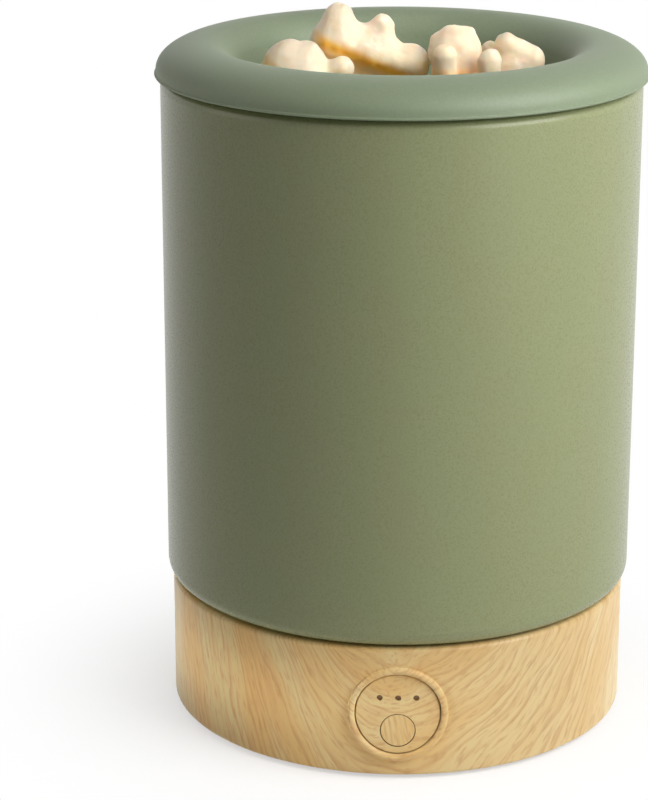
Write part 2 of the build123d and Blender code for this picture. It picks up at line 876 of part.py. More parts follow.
def silicone_dish():
    """Bowl with a broad rolled rim and a skirt that centres it in the ceramic."""
    draft = quarter_turn - dish_roll_turn
    roll_end = quarter_turn + dish_roll_turn
    roll = (dish_crest_r, dish_roll_z)
    round_at = (dish_flat_r, dish_floor_z + dish_floor_round)
    side_top = dish_lip_z + dish_lip_side
    crown = EllipticalCenterArc(
        (dish_crest_r, side_top),
        dish_lip_r - dish_crest_r,
        dish_crest_z - side_top,
        start_angle=0,
        arc_size=quarter_turn,
    )
    over = turned_arc(roll, dish_roll_r, quarter_turn, roll_end)
    inner = turned_arc(round_at, dish_floor_round, -draft, -quarter_turn)
    outer = turned_arc(round_at, dish_floor_round + dish_wall, -quarter_turn, -draft)
    under = turned_arc(roll, dish_roll_r - dish_wall, roll_end, quarter_turn)
    skirt_in_r = dish_skirt_r - dish_skirt_t
    skirt_z = dish_lip_z - dish_skirt_depth
    rim = Polyline(
        (dish_crest_r, dish_crest_z - dish_wall),
        (skirt_in_r, dish_crest_z - dish_wall),
        (skirt_in_r, skirt_z),
        (dish_skirt_r - dish_skirt_lead, skirt_z),
        (dish_skirt_r, skirt_z + dish_skirt_lead),
        (dish_skirt_r, dish_lip_z),
        (dish_lip_r - dish_lip_bevel, dish_lip_z),
        (dish_lip_r, dish_lip_z + dish_lip_bevel),
        (dish_lip_r, side_top),
    )
    lines = [
        Line(over @ 1, inner @ 0),
        Polyline(inner @ 1, (0, dish_floor_z), (0, dish_under_z), outer @ 0),
        Line(outer @ 1, under @ 0),
    ]
    section = make_face([crown, over, inner, outer, under, rim, *lines])
    return revolve(Plane.XZ * section, Axis.Z)


def hot_plate():
    """Aluminium plate under the dish, tapped from below."""
    plate = disc(hot_plate_r, hot_plate_z, dish_under_z)
    plate = fillet(plate.edges().filter_by(GeomType.CIRCLE), hot_plate_edge)
    low = hot_plate_z - cut_over
    element_top = hot_plate_z - strap_t + element_screw_len + thread_gap
    for y in (-strap_screw_y, strap_screw_y):
        plate -= disc(m3_r + thread_gap, low, element_top, 0, y)
    holder_top = hot_plate_z - holder_ledge_t + holder_screw_len + thread_gap
    for x, y in holder_screw_places():
        plate -= disc(m2_r + thread_gap, low, holder_top, x, y)
    sensor_top = hot_plate_z - tag_t + sensor_screw_len + thread_gap
    return plate - disc(m2_r + thread_gap, low, sensor_top, tag_x, sensor_screw_y)


def holder_screw_places():
    """Places of the screws that hold the hot plate down on its ledge."""
    return ring_places(stand_count, holder_screw_circle_r, holder_screw_turn)


def heater_holder():
    """Heat-proof cup with a ledge for the hot plate and an open middle."""
    rim_z = dish_under_z - holder_below_rim
    cup = ring(holder_cup_r, holder_r, holder_z, rim_z)
    cup += ring(holder_floor_in_r, holder_r, holder_z, holder_floor_top)
    cup += ring(holder_ledge_r, holder_r, hot_plate_z - holder_ledge_t, hot_plate_z)
    low, high = holder_z - cut_over, holder_floor_top + slip_gap
    for x, y in stand_places():
        cup -= disc(m3_r + screw_gap, low, high, x, y)
    low, high = hot_plate_z - holder_ledge_t - slip_gap, hot_plate_z + slip_gap
    for x, y in holder_screw_places():
        cup -= disc(m2_r + screw_gap, low, high, x, y)
    return cup


def holder_screws():
    """Three screws from the ledge into the hot plate."""
    seat = hot_plate_z - holder_ledge_t
    spots = holder_screw_places()
    return Compound([m2_screw(holder_screw_len, x, y, seat) for x, y in spots])


def heating_element():
    """Flat heater bar with two terminals at one end."""
    half_l, half_w = element_l / 2, element_w / 2
    body = block(-half_l, half_l, -half_w, half_w, element_z, hot_plate_z)
    body = fillet(body.edges().filter_by(Axis.X), element_edge)
    middle = element_z + element_h / 2
    low, high = middle - terminal_t / 2, middle + terminal_t / 2
    for y in (-terminal_spread, terminal_spread):
        left, right = y - terminal_w / 2, y + terminal_w / 2
        body += block(-half_l - terminal_len, -half_l, left, right, low, high)
    return body


def element_strap():
    """Bent strap that presses the heater bar against the hot plate."""
    half = strap_w / 2
    leg_out = strap_leg_y + strap_t
    strap = block(-half, half, -leg_out, leg_out, element_z - strap_t, element_z)
    for side in (-1, 1):
        inner, outer = sorted((side * strap_leg_y, side * leg_out))
        strap += block(-half, half, inner, outer, element_z - strap_t, hot_plate_z)
        inner, outer = sorted((side * strap_leg_y, side * strap_end_y))
        strap += block(-half, half, inner, outer, hot_plate_z - strap_t, hot_plate_z)
        hole_z = hot_plate_z - strap_t
        hole_y = side * strap_screw_y
        strap -= disc(m3_r + screw_gap, hole_z - slip_gap, hot_plate_z + slip_gap, 0, hole_y)
    return strap


def element_screws():
    """Two screws that hold the strap to the hot plate."""
    seat = hot_plate_z - strap_t
    spots = (-strap_screw_y, strap_screw_y)
    return Compound([m3_screw(element_screw_len, 0, y, seat) for y in spots])


def thermal_fuse():
    """Small round fuse flat against the hot plate, with its two leads."""
    half = fuse_len / 2
    body = rod(fuse_r, -half, half, fuse_y, fuse_z)
    front, back = fuse_y - fuse_r, fuse_y + fuse_r
    body -= block(-half, half, front, back, hot_plate_z, hot_plate_z + cut_over)
    end = half + fuse_lead_len
    return body + rod(fuse_lead_r, -end, end, fuse_y, fuse_z)


def thermistor():
    """Temperature sensor: a tag screwed to the hot plate with a bead under it."""
    half = tag_w / 2
    low = hot_plate_z - tag_t
    tag = block(tag_x - half, tag_x + half, tag_y, tag_y + tag_l, low, hot_plate_z)
    tag += disc(bead_r, low - bead_h, low, tag_x, bead_y)
    ends = (low - slip_gap, hot_plate_z + slip_gap)
    return tag - disc(m2_r + screw_gap, *ends, tag_x, sensor_screw_y)


def thermistor_screw():
    """Screw of the temperature sensor's tag."""
    return m2_screw(sensor_screw_len, tag_x, sensor_screw_y, hot_plate_z - tag_t)


def clamp_screws():
    """Three long screws that pull the ceramic down on the deck."""
    length = standoff_z - deck_under + clamp_grip
    return Compound([m3_screw(length, x, y, deck_under) for x, y in stand_places()])


def stand_washers():
    """Soft washers between the ceramic floor and the stands."""
    hole_r = m3_r + screw_gap
    low, high = body_floor_top, standoff_z
    washers = []
    for x, y in stand_places():
        hole = disc(hole_r, low - cut_over, high + cut_over, x, y)
        washers.append(disc(washer_r, low, high, x, y) - hole)
    return Compound(washers)


def heater_standoff(x, y):
    """Hexagonal stand with a tapped foot and a stud on top."""
    stand = hexagon(standoff_flats, standoff_z, shield_z, x, y)
    hole_top = standoff_z + standoff_hole_depth
    stand -= disc(m3_r + thread_gap, standoff_z - cut_over, hole_top, x, y)
    stud_top = holder_floor_top + m3_nut_h + stud_over
    return stand + disc(m3_r, shield_z, stud_top, x, y)


def heat_shield():
    """Steel disc below the heater with a turned-down lip round its wire hole."""
    shield = ring(shield_hole_r, shield_r, shield_z, shield_top_z)
    lip_z = shield_z - shield_lip_h
    shield += ring(shield_hole_r, shield_hole_r + shield_t, lip_z, shield_top_z)
    low, high = shield_z - cut_over, shield_top_z + cut_over
    for x, y in stand_places():
        shield -= disc(m3_r + screw_gap, low, high, x, y)
    return shield


def shield_spacers():
    """Tubes on the studs that keep the holder above the shield."""
    tubes = []
    for x, y in stand_places():
        hole = disc(m3_r + slip_gap, shield_top_z - cut_over, holder_z + cut_over, x, y)
        tubes.append(disc(spacer_r, shield_top_z, holder_z, x, y) - hole)
    return Compound(tubes)


def stand_nuts():
    """Nuts on the studs, inside the holder."""
    top = holder_floor_top + m3_nut_h
    nuts = []
    for x, y in stand_places():
        hole = disc(m3_r + thread_gap, holder_floor_top - cut_over, top + cut_over, x, y)
        nuts.append(hexagon(m3_nut_flats, holder_floor_top, top, x, y) - hole)
    return Compound(nuts)


def wire_grommet():
    """Soft ring in the deck's wire hole, a flange on each side."""
    flange_r = grommet_r + grommet_flange_w
    tube = ring(grommet_bore_r, grommet_r - slip_gap, deck_under, deck_top)
    low = ring(grommet_bore_r, flange_r, deck_under - grommet_flange_t, deck_under)
    high = ring(grommet_bore_r, flange_r, deck_top, deck_top + grommet_flange_t)
    return tube + low + high


def bend_radii(points):
    """Bend radius at each corner, as large as its two runs allow."""
    radii = []
    for before, corner, after in zip(points, points[1:], points[2:]):
        run_in = Vector(*corner) - Vector(*before)
        run_out = Vector(*after) - Vector(*corner)
        half_turn = math.radians(run_in.get_angle(run_out)) / 2
        shorter = min(run_in.length, run_out.length)
        radii.append(bend_share * shorter / math.tan(half_turn))
    return radii


def wire(points, name):
    """Round wire along a route of straight runs joined by tangent arcs."""
    radii = bend_radii(points)
    path = FilletPolyline(*points, radius=radii)
    heading = Vector(*points[1]) - Vector(*points[0])
    section = Plane(points[0], z_dir=heading) * Circle(wire_r)
    solid = sweep(section, path=path)
    full = math.pi * wire_r**2 * path.length
    print(name, "bend radii", [round(r, 1) for r in radii])
    print(name, "length", round(path.length, 1), "volume share", round(solid.volume / full, 4))
    return solid


def hang(shares):
    """Two points of a wire, below the holder and below the shield."""
    levels = (wire_exit_z, wire_shield_z)
    return [(body_hole_r * x, body_hole_r * y, z) for (x, y), z in zip(shares, levels)]


def heater_wire_1():
    """Wire from a heater terminal down to the heater socket."""
    x = -(element_l / 2 + terminal_len - wire_r - slip_gap)
    top = element_z + element_h / 2 - terminal_t / 2
    start = (x, terminal_spread, top)
    down = (x, terminal_spread, wire_cup_z)
    return [start, down, *hang(heater_wire_shares), *heater_drop(-1)]


def heater_drop(side):
    """Lower end of a heater wire: through the grommet and into its socket."""
    end_x = heater_plug_x + side * wire_pitch / 2
    turn_z = plug_top + wire_room * heater_turn_share
    return [
        (side * wire_spread, -wire_spread, wire_low_z),
        (side * wire_spread, -wire_spread, wire_deck_z),
        (end_x, heater_plug_y, turn_z),
        (end_x, heater_plug_y, plug_top),
    ]


def heater_wire_2():
    """Wire from the fuse down to the heater socket."""
    x = fuse_len / 2 + fuse_lead_len
    reach = x + fuse_turn_out
    return [
        (x, fuse_y, fuse_z),
        (reach, fuse_y + slip_gap, fuse_z - slip_gap),
        (reach, fuse_y + fuse_turn_in, wire_cup_z),
        *hang(return_wire_shares),
        *heater_drop(1),
    ]


def fuse_link_wire():
    """Short wire from the fuse round to the second heater terminal."""
    x = fuse_len / 2 + fuse_lead_len
    end_x = -(element_l / 2 + terminal_len - wire_r - slip_gap)
    end_y = -terminal_spread - terminal_w / 2
    end_z = element_z + element_h / 2
    return [
        (-x, fuse_y, fuse_z),
        (-x - link_turn_out, fuse_y + slip_gap, fuse_z),
        (end_x + fuse_lead_len, (fuse_y + end_y) / 2, end_z),
        (end_x, end_y - link_turn_in, end_z),
        (end_x, end_y, end_z),
    ]


def sensor_wire(side, shares):
    """Wire from the sensor's bead through the grommet to its socket."""
    x = tag_x + side * sensor_pitch / 2
    top = hot_plate_z - tag_t - bead_h
    end_x = sensor_plug_x + side * wire_pitch / 2
    turn_z = plug_top + wire_room * sensor_turn_share
    out_x = side * wire_spread + (end_x - side * wire_spread) * sensor_out_share
    out_y = wire_spread + (sensor_plug_y - wire_spread) * sensor_out_share
    return [
        (x, bead_y, top),
        (x, bead_y, wire_cup_z - wire_r),
        *hang(shares),
        (side * wire_spread, wire_spread, wire_low_z),
        (side * wire_spread, wire_spread, wire_deck_z),
        (out_x, out_y, turn_z),
        (end_x, sensor_plug_y, turn_z),
        (end_x, sensor_plug_y, plug_top),
    ]


def ball(place):
    """Ball of a melt, sized and placed from its shares of the dish's floor."""
    x, y, height, radius = [share * dish_flat_r for share in place]
    return Pos(x, y, dish_floor_z + height) * Sphere(radius)


def limb(start, end):
    """Two balls joined by a tapered stretch."""
    x0, y0, z0, r0 = [share * dish_flat_r for share in start]
    x1, y1, z1, r1 = [share * dish_flat_r for share in end]
    low = Vector(x0, y0, dish_floor_z + z0)
    high = Vector(x1, y1, dish_floor_z + z1)
    place = Plane((low + high) / 2, z_dir=high - low)
    return [ball(start), ball(end), place * Cone(r0, r1, (high - low).length)]


def wax_melt(shares):
    """Rounded lump of wax, flat where it rests on the dish's floor."""
    pieces = [piece for start, end in shares for piece in limb(start, end)]
    melt = pieces[0] + pieces[1:]
    room = disc(dish_crest_r, dish_floor_z, dish_crest_z + dish_depth)
    return melt & room


def save(shape, name):
    """Write one sub-part."""
    export_step(shape, "parts/" + name + ".step")


save(wood_base_housing(), "wood_base_housing")
save(base_plate(), "base_plate")
save(base_plate_screws(), "base_plate_screws")
for number, (foot_x, foot_y) in enumerate(foot_places(), 1):
    save(rubber_foot(foot_x, foot_y), f"rubber_foot_{number}")
save(control_panel(), "control_panel")
save(power_button(), "power_button")
save(light_guide(), "light_guide")
save(control_board(), "control_board")
save(control_board_screws(), "control_board_screws")
save(tact_switch(), "tact_switch")
save(switch_plunger(), "switch_plunger")
save(indicator_leds(), "indicator_leds")
save(main_board(), "main_board")
save(main_board_screws(), "main_board_screws")
save(controller_chip(), "controller_chip")
save(power_transistor(), "power_transistor")
save(filter_capacitor(), "filter_capacitor")
save(power_coil(), "power_coil")
save(wire_socket(heater_plug_x, heater_plug_y), "heater_socket")
save(wire_socket(sensor_plug_x, sensor_plug_y), "sensor_socket")
save(ribbon_socket(), "ribbon_socket")
save(ribbon_cable(), "ribbon_cable")
save(dc_jack(), "dc_jack")
save(dc_jack_pin(), "dc_jack_pin")
save(deck_gasket(), "deck_gasket")
save(ceramic_body(), "ceramic_body")
save(silicone_dish(), "silicone_dish")
save(hot_plate(), "hot_plate")
save(heater_holder(), "heater_holder")
save(holder_screws(), "holder_screws")
save(heating_element(), "heating_element")
save(element_strap(), "element_strap")
save(element_screws(), "element_screws")
save(thermal_fuse(), "thermal_fuse")
save(thermistor(), "thermistor")
save(thermistor_screw(), "thermistor_screw")
save(clamp_screws(), "clamp_screws")
save(stand_washers(), "stand_washers")
for number, (stand_x, stand_y) in enumerate(stand_places(), 1):
    save(heater_standoff(stand_x, stand_y), f"heater_standoff_{number}")
save(heat_shield(), "heat_shield")
save(shield_spacers(), "shield_spacers")
save(stand_nuts(), "stand_nuts")
save(wire_grommet(), "wire_grommet")
save(wire(heater_wire_1(), "heater_wire_1"), "heater_wire_1")
save(wire(heater_wire_2(), "heater_wire_2"), "heater_wire_2")
save(wire(fuse_link_wire(), "fuse_link_wire"), "fuse_link_wire")
save(wire(sensor_wire(-1, sensor_wire_shares), "sensor_wire_1"), "sensor_wire_1")
save(wire(sensor_wire(1, second_sensor_wire_shares), "sensor_wire_2"), "sensor_wire_2")
save(wax_melt(front_left_melt_shares), "wax_melt_1")
save(wax_melt(back_melt_shares), "wax_melt_2")
save(wax_melt(middle_melt_shares), "wax_melt_3")
save(wax_melt(right_melt_shares), "wax_melt_4")
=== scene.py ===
# %% [markdown]
# A wax melt warmer is a small heater for scented wax. A round wood-look base holds the electronics,
# a tall ceramic body stands on it, and a soft silicone dish lies on the body's rim. This script takes
# the solid parts as they are packed, gives each one its finish, and makes the soft and turned pieces again
# with more faces than a solid needs. The solids could all be drawn anew, but then nothing would tie their
# sizes to the real ones. Everything is in one frame, in metres, with the front towards -Y.

# %% Load the solid parts
import math

import bmesh
import bpy
import numpy as np
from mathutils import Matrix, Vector, noise


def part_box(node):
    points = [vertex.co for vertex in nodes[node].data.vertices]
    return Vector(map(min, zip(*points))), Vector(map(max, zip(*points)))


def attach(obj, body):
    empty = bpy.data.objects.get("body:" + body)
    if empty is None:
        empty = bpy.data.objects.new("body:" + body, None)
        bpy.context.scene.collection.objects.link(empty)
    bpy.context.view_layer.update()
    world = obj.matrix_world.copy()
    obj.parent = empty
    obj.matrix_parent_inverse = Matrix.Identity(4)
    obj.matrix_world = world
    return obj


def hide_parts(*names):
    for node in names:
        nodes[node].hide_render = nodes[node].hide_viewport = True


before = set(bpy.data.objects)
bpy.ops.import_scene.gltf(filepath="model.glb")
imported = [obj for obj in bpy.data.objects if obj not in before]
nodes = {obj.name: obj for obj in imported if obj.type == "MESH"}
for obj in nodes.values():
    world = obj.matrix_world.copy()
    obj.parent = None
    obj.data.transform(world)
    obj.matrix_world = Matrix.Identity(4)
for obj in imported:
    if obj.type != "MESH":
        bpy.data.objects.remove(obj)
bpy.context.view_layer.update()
MM = 0.001


def box_mm(name):
    """Lowest and highest corner of a solid part, in millimetres."""
    return [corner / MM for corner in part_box(name)]


def put(name, data):
    """A new object in the scene."""
    thing = bpy.data.objects.new(name, data)
    bpy.context.scene.collection.objects.link(thing)
    return thing


# %% [markdown]
# The camera comes first, because every likeness is judged through it. It stands where the product
# photograph was taken: 0.6 m in front, about 0.1 m above the rim, looking down by about 17 degrees through
# a long lens. It could be set by eye, but fitting it to the outlines leaves no doubt about proportions. The
# panel sits half a degree to the right of the middle, so the camera goes round by that.

# %% Camera
camera_distance = 604.4 * MM
camera_height = 263.0 * MM
camera_down = 0.3049
camera_turn = 0.0292
front_turn = math.radians(0.5)
camera_data = bpy.data.cameras.new("camera")
camera_data.lens = 120.32
camera_data.sensor_width = 36.0
camera = put("camera", camera_data)
camera.location = (
    -camera_distance * math.sin(front_turn),
    -camera_distance * math.cos(front_turn),
    camera_height,
)
camera.rotation_euler = (math.pi / 2 - camera_down, 0, camera_turn - front_turn)
bpy.context.scene.camera = camera
print("camera at", [round(v, 3) for v in camera.location])

# %% [markdown]
# Finishes and repeated parts are both node trees, and long node code hides the idea behind it. So a socket
# is wrapped once, and Python's own signs add the Math nodes: 1 - mask reads as it would on paper.
# Colours never go through a Math node, which would turn them grey; they meet in a Mix node.

# %% One way to write node trees
class Signal:
    """A socket that Python's signs work on. Each sign adds one Math node."""

    def __init__(self, wiring, socket):
        self.wiring = wiring
        self.socket = socket

    def __add__(self, other):
        return self.wiring.math("ADD", self, other)

    def __sub__(self, other):
        return self.wiring.math("SUBTRACT", self, other)

    def __mul__(self, other):
        return self.wiring.math("MULTIPLY", self, other)

    def __truediv__(self, other):
        return self.wiring.math("DIVIDE", self, other)

    def __pow__(self, other):
        return self.wiring.math("POWER", self, other)

    def __rsub__(self, other):
        return self.wiring.math("SUBTRACT", other, self)

    def __rtruediv__(self, other):
        return self.wiring.math("DIVIDE", other, self)

    __radd__ = __add__
    __rmul__ = __mul__


class Wiring:
    """A node tree, and the one way in which a node gets into it."""

    def __init__(self, tree):
        self.tree = tree

    def add(self, kind, settings=None, feeds=None, out=0):
        node = self.tree.nodes.new(kind)
        for key, value in (settings or {}).items():
            setattr(node, key, value)
        for key, value in (feeds or {}).items():
            self.feed(node.inputs[key], value)
        return Signal(self, node.outputs[out])

    def feed(self, socket, value):
        if isinstance(value, Signal):
            self.tree.links.new(value.socket, socket)
        else:
            socket.default_value = value

    def math(self, operation, *terms):
        return self.add("ShaderNodeMath", {"operation": operation}, dict(enumerate(terms)))


# %% [markdown]
# A finish is one material: a surface shader with its constant settings, and a few patterns to vary its
# colour, roughness and relief. Pictures could give those patterns, but noise has no seams, never repeats
# and is sharp from near. Patterns are laid out in millimetres on Object coordinates, so that their grain
# has a real size and stays put when the part moves.

# %% Finish: one material with its patterns
def tint(red, green, blue):
    """A colour as an eye reads it, 0 to 255, turned into the linear values of a shader."""
    shares = [v / 255 for v in (red, green, blue)]
    return (*[v / 12.92 if v <= 0.04045 else ((v + 0.055) / 1.055) ** 2.4 for v in shares], 1.0)


class Finish(Wiring):
    """One material under construction. Constants are named as the shader names its sockets."""

    def __init__(self, name, **constants):
        self.material = bpy.data.materials.new(name)
        self.material.use_nodes = True
        super().__init__(self.material.node_tree)
        self.tree.nodes.clear()
        self.output = self.tree.nodes.new("ShaderNodeOutputMaterial")
        self.shader = self.tree.nodes.new("ShaderNodeBsdfPrincipled")
        self.tree.links.new(self.shader.outputs[0], self.output.inputs["Surface"])
        place = self.add("ShaderNodeTexCoord", out=3)
        self.point = self.add("ShaderNodeVectorMath", {"operation": "SCALE"}, {0: place, 3: 1 / MM})
        self.set({key.replace("_", " ").title().replace("Ior", "IOR"): v for key, v in constants.items()})

    def set(self, feeds):
        for key, value in feeds.items():
            self.feed(self.shader.inputs[key], value)

    def axes(self):
        """The point's x, y and z in millimetres."""
        parts = self.add("ShaderNodeSeparateXYZ", None, {0: self.point})
        node = parts.socket.node
        return [Signal(self, node.outputs[i]) for i in range(3)]

    def vector(self, x, y, z):
        return self.add("ShaderNodeCombineXYZ", None, {0: x, 1: y, 2: z})

    def stretched(self, x, y, z):
        """The point with each axis scaled by its own number."""
        return self.add("ShaderNodeVectorMath", {"operation": "MULTIPLY"}, {0: self.point, 1: (x, y, z)})

    def noise(self, vector, scale=1.0, detail=2.0, rough=0.5):
        feeds = {"Vector": vector, "Scale": scale, "Detail": detail, "Roughness": rough}
        return self.add("ShaderNodeTexNoise", None, feeds)

    def step(self, value, low, high):
        """Zero below low, one above high, and smooth between."""
        feeds = {"Value": value, "From Min": low, "From Max": high}
        return self.add("ShaderNodeMapRange", {"interpolation_type": "SMOOTHSTEP"}, feeds)

    def mix(self, share, first, second):
        """From the first colour to the second."""
        return self.add("ShaderNodeMix", {"data_type": "RGBA"}, {0: share, 6: first, 7: second}, out=2)

    def blend(self, share, first, second):
        """From the first number to the second."""
        return first + (second - first) * share

    def complete(self, colour, rough, height, depth, strength):
        """The material with its colour, its roughness and bumps of a depth in millimetres."""
        feeds = {"Height": height, "Distance": depth * MM, "Strength": strength}
        bumps = self.add("ShaderNodeBump", None, feeds)
        self.set({"Base Color": colour, "Roughness": rough, "Normal": bumps})
        return self.material


# %% [markdown]
# The base is moulded plastic with a wood picture printed on it. The grain of the print sweeps down past
# the left of the panel, runs level below it and climbs again to the right, steeper on the left than on
# the right. A straight grain bent by noise would wander anywhere, so one family of curves leads it: height
# minus a rise that depends on the way round. Bands, short strokes and hairs are noise that is stretched
# along those curves, and thin lines follow them like the rings of a year. Round the back the grain stands
# Gaps and inner edges of the moulding get a little painted shade, most of all round the button.

# %% Where the grain of the print runs
wood_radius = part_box("wood_base_housing")[1].x / MM
panel_height = sum(c.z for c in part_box("control_panel")) / 2 / MM
button_height = sum(c.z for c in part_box("power_button")) / 2 / MM
left_curve, right_curve = 0.046, 0.0115
right_climb, right_turn = 0.5, 3.0
curves_depth, curves_spread = 22.0, 20.0
wander_size, wander_reach = 17.0, 9.0


def wood_front(finish, x, y, z):
    """Across and along the front's grain, in millimetres."""
    around = finish.math("ARCTAN2", x, 0 - y) * wood_radius
    left = finish.math("MINIMUM", around, 0.0)
    right = finish.math("MAXIMUM", around, 0.0)
    root = (right * right * right_climb**2 + right_turn**2) ** 0.5
    rise = left * left * left_curve + root - right_turn + right * right * right_curve
    slope = left * (2 * left_curve) + right * right_climb**2 / root + right * (2 * right_curve)
    wander = (finish.noise(finish.point, 1 / wander_size, 1.0) - 0.5) * wander_reach
    drop = curves_depth - (z - panel_height) + rise + wander
    across = finish.math("LOGARITHM", drop / curves_spread + 1.0, math.e) * curves_spread
    level = (slope * slope + 1.0) ** -0.5
    return across, (around + z * slope) * level


def along_grain(finish, kind, front, detail=2.0):
    """Noise drawn out along the front's grain."""
    fine, long, seed = kind
    across, along = front
    return finish.noise(finish.vector(across * fine, along * long, seed), 1.0, detail)


print("wood print wraps a wall of", round(wood_radius, 1), "mm, panel at", round(panel_height, 1))

# %% Streaks and lines of the print
# Each kind is how fine it is across the grain, how fine along it, and a seed. The second pair says
# at which values of the noise a streak begins and is full.
streak_kinds = {
    "bands": ((0.16, 0.02, 3.0), (0.36, 0.64)),
    "strokes": ((1.3, 0.05, 11.0), (0.5, 0.72)),
    "hairs": ((2.7, 0.24, 29.0), (0.5, 0.72)),
    "patches": ((0.5, 0.04, 41.0), (0.36, 0.62)),
}
line_bend, line_waver = (0.22, 0.035, 7.0), (0.9, 0.12, 17.0)
bend_share, waver_share = 4.0, 0.7
upright_grain, upright_rings = (0.12, 0.12, 0.02), 60.0
line_pitch = 1.2
line_begins, line_full, line_breaks = 0.42, 0.88, 0.9


def wood_streaks(finish, name, front, facing):
    """Streaks of one kind: along the front's curves, and upright round the back."""
    kind, limits = streak_kinds[name]
    fine, long = kind[:2]
    upright = finish.noise(finish.stretched(fine, fine, long))
    return finish.step(finish.blend(facing, upright, along_grain(finish, kind, front)), *limits)


def year_lines(finish, front, facing):
    """Thin lines side by side, each darkening slowly and ending at once, as late wood does."""
    upright = finish.noise(finish.stretched(*upright_grain)) * upright_rings
    rings = finish.blend(facing, upright, front[0]) / line_pitch
    bend = along_grain(finish, line_bend, front, 1.0) * bend_share
    waver = along_grain(finish, line_waver, front, 1.0) * waver_share
    phase = finish.math("FRACT", rings + bend + waver)
    return finish.step(phase, line_begins, line_full) * (1 - finish.step(phase, line_breaks, 1.0))


print("year lines are about", line_pitch, "mm apart")

# %% Printed wood
# Each pair is a colour on the left of the base and the same one on its right. The paler left ones and the
# darker right ones are painted light and shade, which even out the lamp from the right.
wood_pale = (tint(255, 237, 178), tint(238, 215, 162))
wood_honey = (tint(255, 223, 150), tint(232, 200, 139))
wood_line = (tint(234, 184, 118), tint(208, 168, 112))
wood_stain = (tint(246, 200, 136), tint(220, 180, 124))
crevice_shade_colour = tint(110, 70, 30)
stroke_share, hair_share, line_share, line_share_least = 0.42, 0.55, 0.45, 0.08
crevice_shade_reach = 0.9
button_gap = (4.2, 5.0)
# How open a place is where the painted shade is full and where it ends, and how dark it gets: each away from
# the button and round it.
dark_full, dark_ends, dark_most = (0.15, 0.5), (0.6, 0.9), (0.3, 0.9)
front_edge, painted_light_edge = 0.12, 0.9


def painted_crevice_shade(finish, x, z, facing):
    """How much painted shade gaps and inner edges get, most of all in a ring round the button."""
    feeds = {"Distance": crevice_shade_reach * MM}
    open_air = finish.add("ShaderNodeAmbientOcclusion", {"samples": 8}, feeds, out="AO")
    from_button = (x * x + (z - button_height) * (z - button_height)) ** 0.5
    round_button = (1 - finish.step(from_button, *button_gap)) * facing
    full, ends, most = [finish.blend(round_button, *pair) for pair in (dark_full, dark_ends, dark_most)]
    return (1 - finish.step(open_air, full, ends)) * most


def printed_wood(title, own_grain=None):
    """The base's finish, or that of a part whose print was laid on by itself at its own slant."""
    finish = Finish(title, specular_ior_level=0.42, diffuse_roughness=1.0)
    x, y, z = finish.axes()
    if own_grain:
        front = (z * own_grain + x, z)
        facing = 1.0
    else:
        front = wood_front(finish, x, y, z)
        facing = finish.step((0 - y) / wood_radius, -front_edge, front_edge)
    # Painted light and shade: the print goes from the paler left colours to the darker right ones.
    side = finish.step(x / wood_radius, -painted_light_edge, painted_light_edge)
    pale, honey, line, stain = [
        finish.mix(side, *pair) for pair in (wood_pale, wood_honey, wood_line, wood_stain)
    ]
    bands, strokes, hairs, patches = [
        wood_streaks(finish, name, front, facing) for name in ("bands", "strokes", "hairs", "patches")
    ]
    lines = year_lines(finish, front, facing) * (patches * line_share + line_share_least)
    colour = finish.mix(bands, honey, pale)
    colour = finish.mix(strokes * stroke_share, colour, stain)
    colour = finish.mix(hairs * hair_share, colour, line)
    colour = finish.mix(lines, colour, line)
    # Painted shade in the gaps and inner edges of the moulding.
    colour = finish.mix(painted_crevice_shade(finish, x, z, facing), colour, crevice_shade_colour)
    return finish.complete(colour, bands * -0.05 + 0.4, hairs, 0.006, 0.1)


wood = printed_wood("printed wood")
button_wood = printed_wood("printed wood of the button", own_grain=0.18)
print("printed wood:", wood.name, "and", button_wood.name)

# %% [markdown]
# The body is slip-cast ceramic with a satin glaze. Up close the glaze is sandy: grains of about a third
# of a millimetre, a little paler or darker, over clouds that are hardly there. The dish is silicone of a
# cooler green, more matt, and soft enough that its highlights spread wide. Two flat colours would be near
# the mark from afar, but only the sand makes the one read as glaze and the other as rubber.

# %% Green glaze and green silicone
grains_per_mm = 2.4


def sandy_glaze():
    finish = Finish("satin green glaze", specular_ior_level=0.36)
    sand = finish.noise(finish.point, grains_per_mm, 2.0, 0.7)
    clouds = finish.noise(finish.point, 1 / 14, 2.0)
    colour = finish.mix(finish.step(sand, 0.3, 0.7), tint(143, 149, 106), tint(154, 158, 117))
    colour = finish.mix(finish.step(clouds, 0.3, 0.7) * 0.3, colour, tint(144, 155, 112))
    return finish.complete(colour, sand * 0.1 + 0.23, sand, 0.015, 0.3)


def soft_silicone():
    finish = Finish("green silicone", specular_ior_level=0.65, sheen_weight=0.1, sheen_roughness=0.5)
    grain = finish.noise(finish.point, 1.6, 3.0, 0.65)
    clouds = finish.noise(finish.point, 1 / 20, 1.0)
    colour = finish.mix(finish.step(grain, 0.25, 0.75), tint(129, 143, 113), tint(136, 150, 120))
    colour = finish.mix(finish.step(clouds, 0.35, 0.7) * 0.25, colour, tint(135, 147, 118))
    return finish.complete(colour, grain * 0.12 + 0.5, grain, 0.015, 0.25)


glaze = sandy_glaze()
silicone = soft_silicone()
print("glaze grains are about", round(1 / grains_per_mm, 2), "mm apart")

# %% [markdown]
# Wax is cream where light reaches it and amber where it is thick or turned down. The shader scatters
# light below the surface by up to 2.4 mm, red the furthest, which softens the forms. Amber could be left to
# the scattering alone, but that has no edge, and the amber seen on real wax has one. So the amber is painted
# shade and glow of light through thick wax, given by an attribute, which the melts carry and which is worked
# out from their shape when they are made.

# %% Wax
wax_scatter = 2.4
scatter_by_colour = (1.0, 0.7, 0.42)


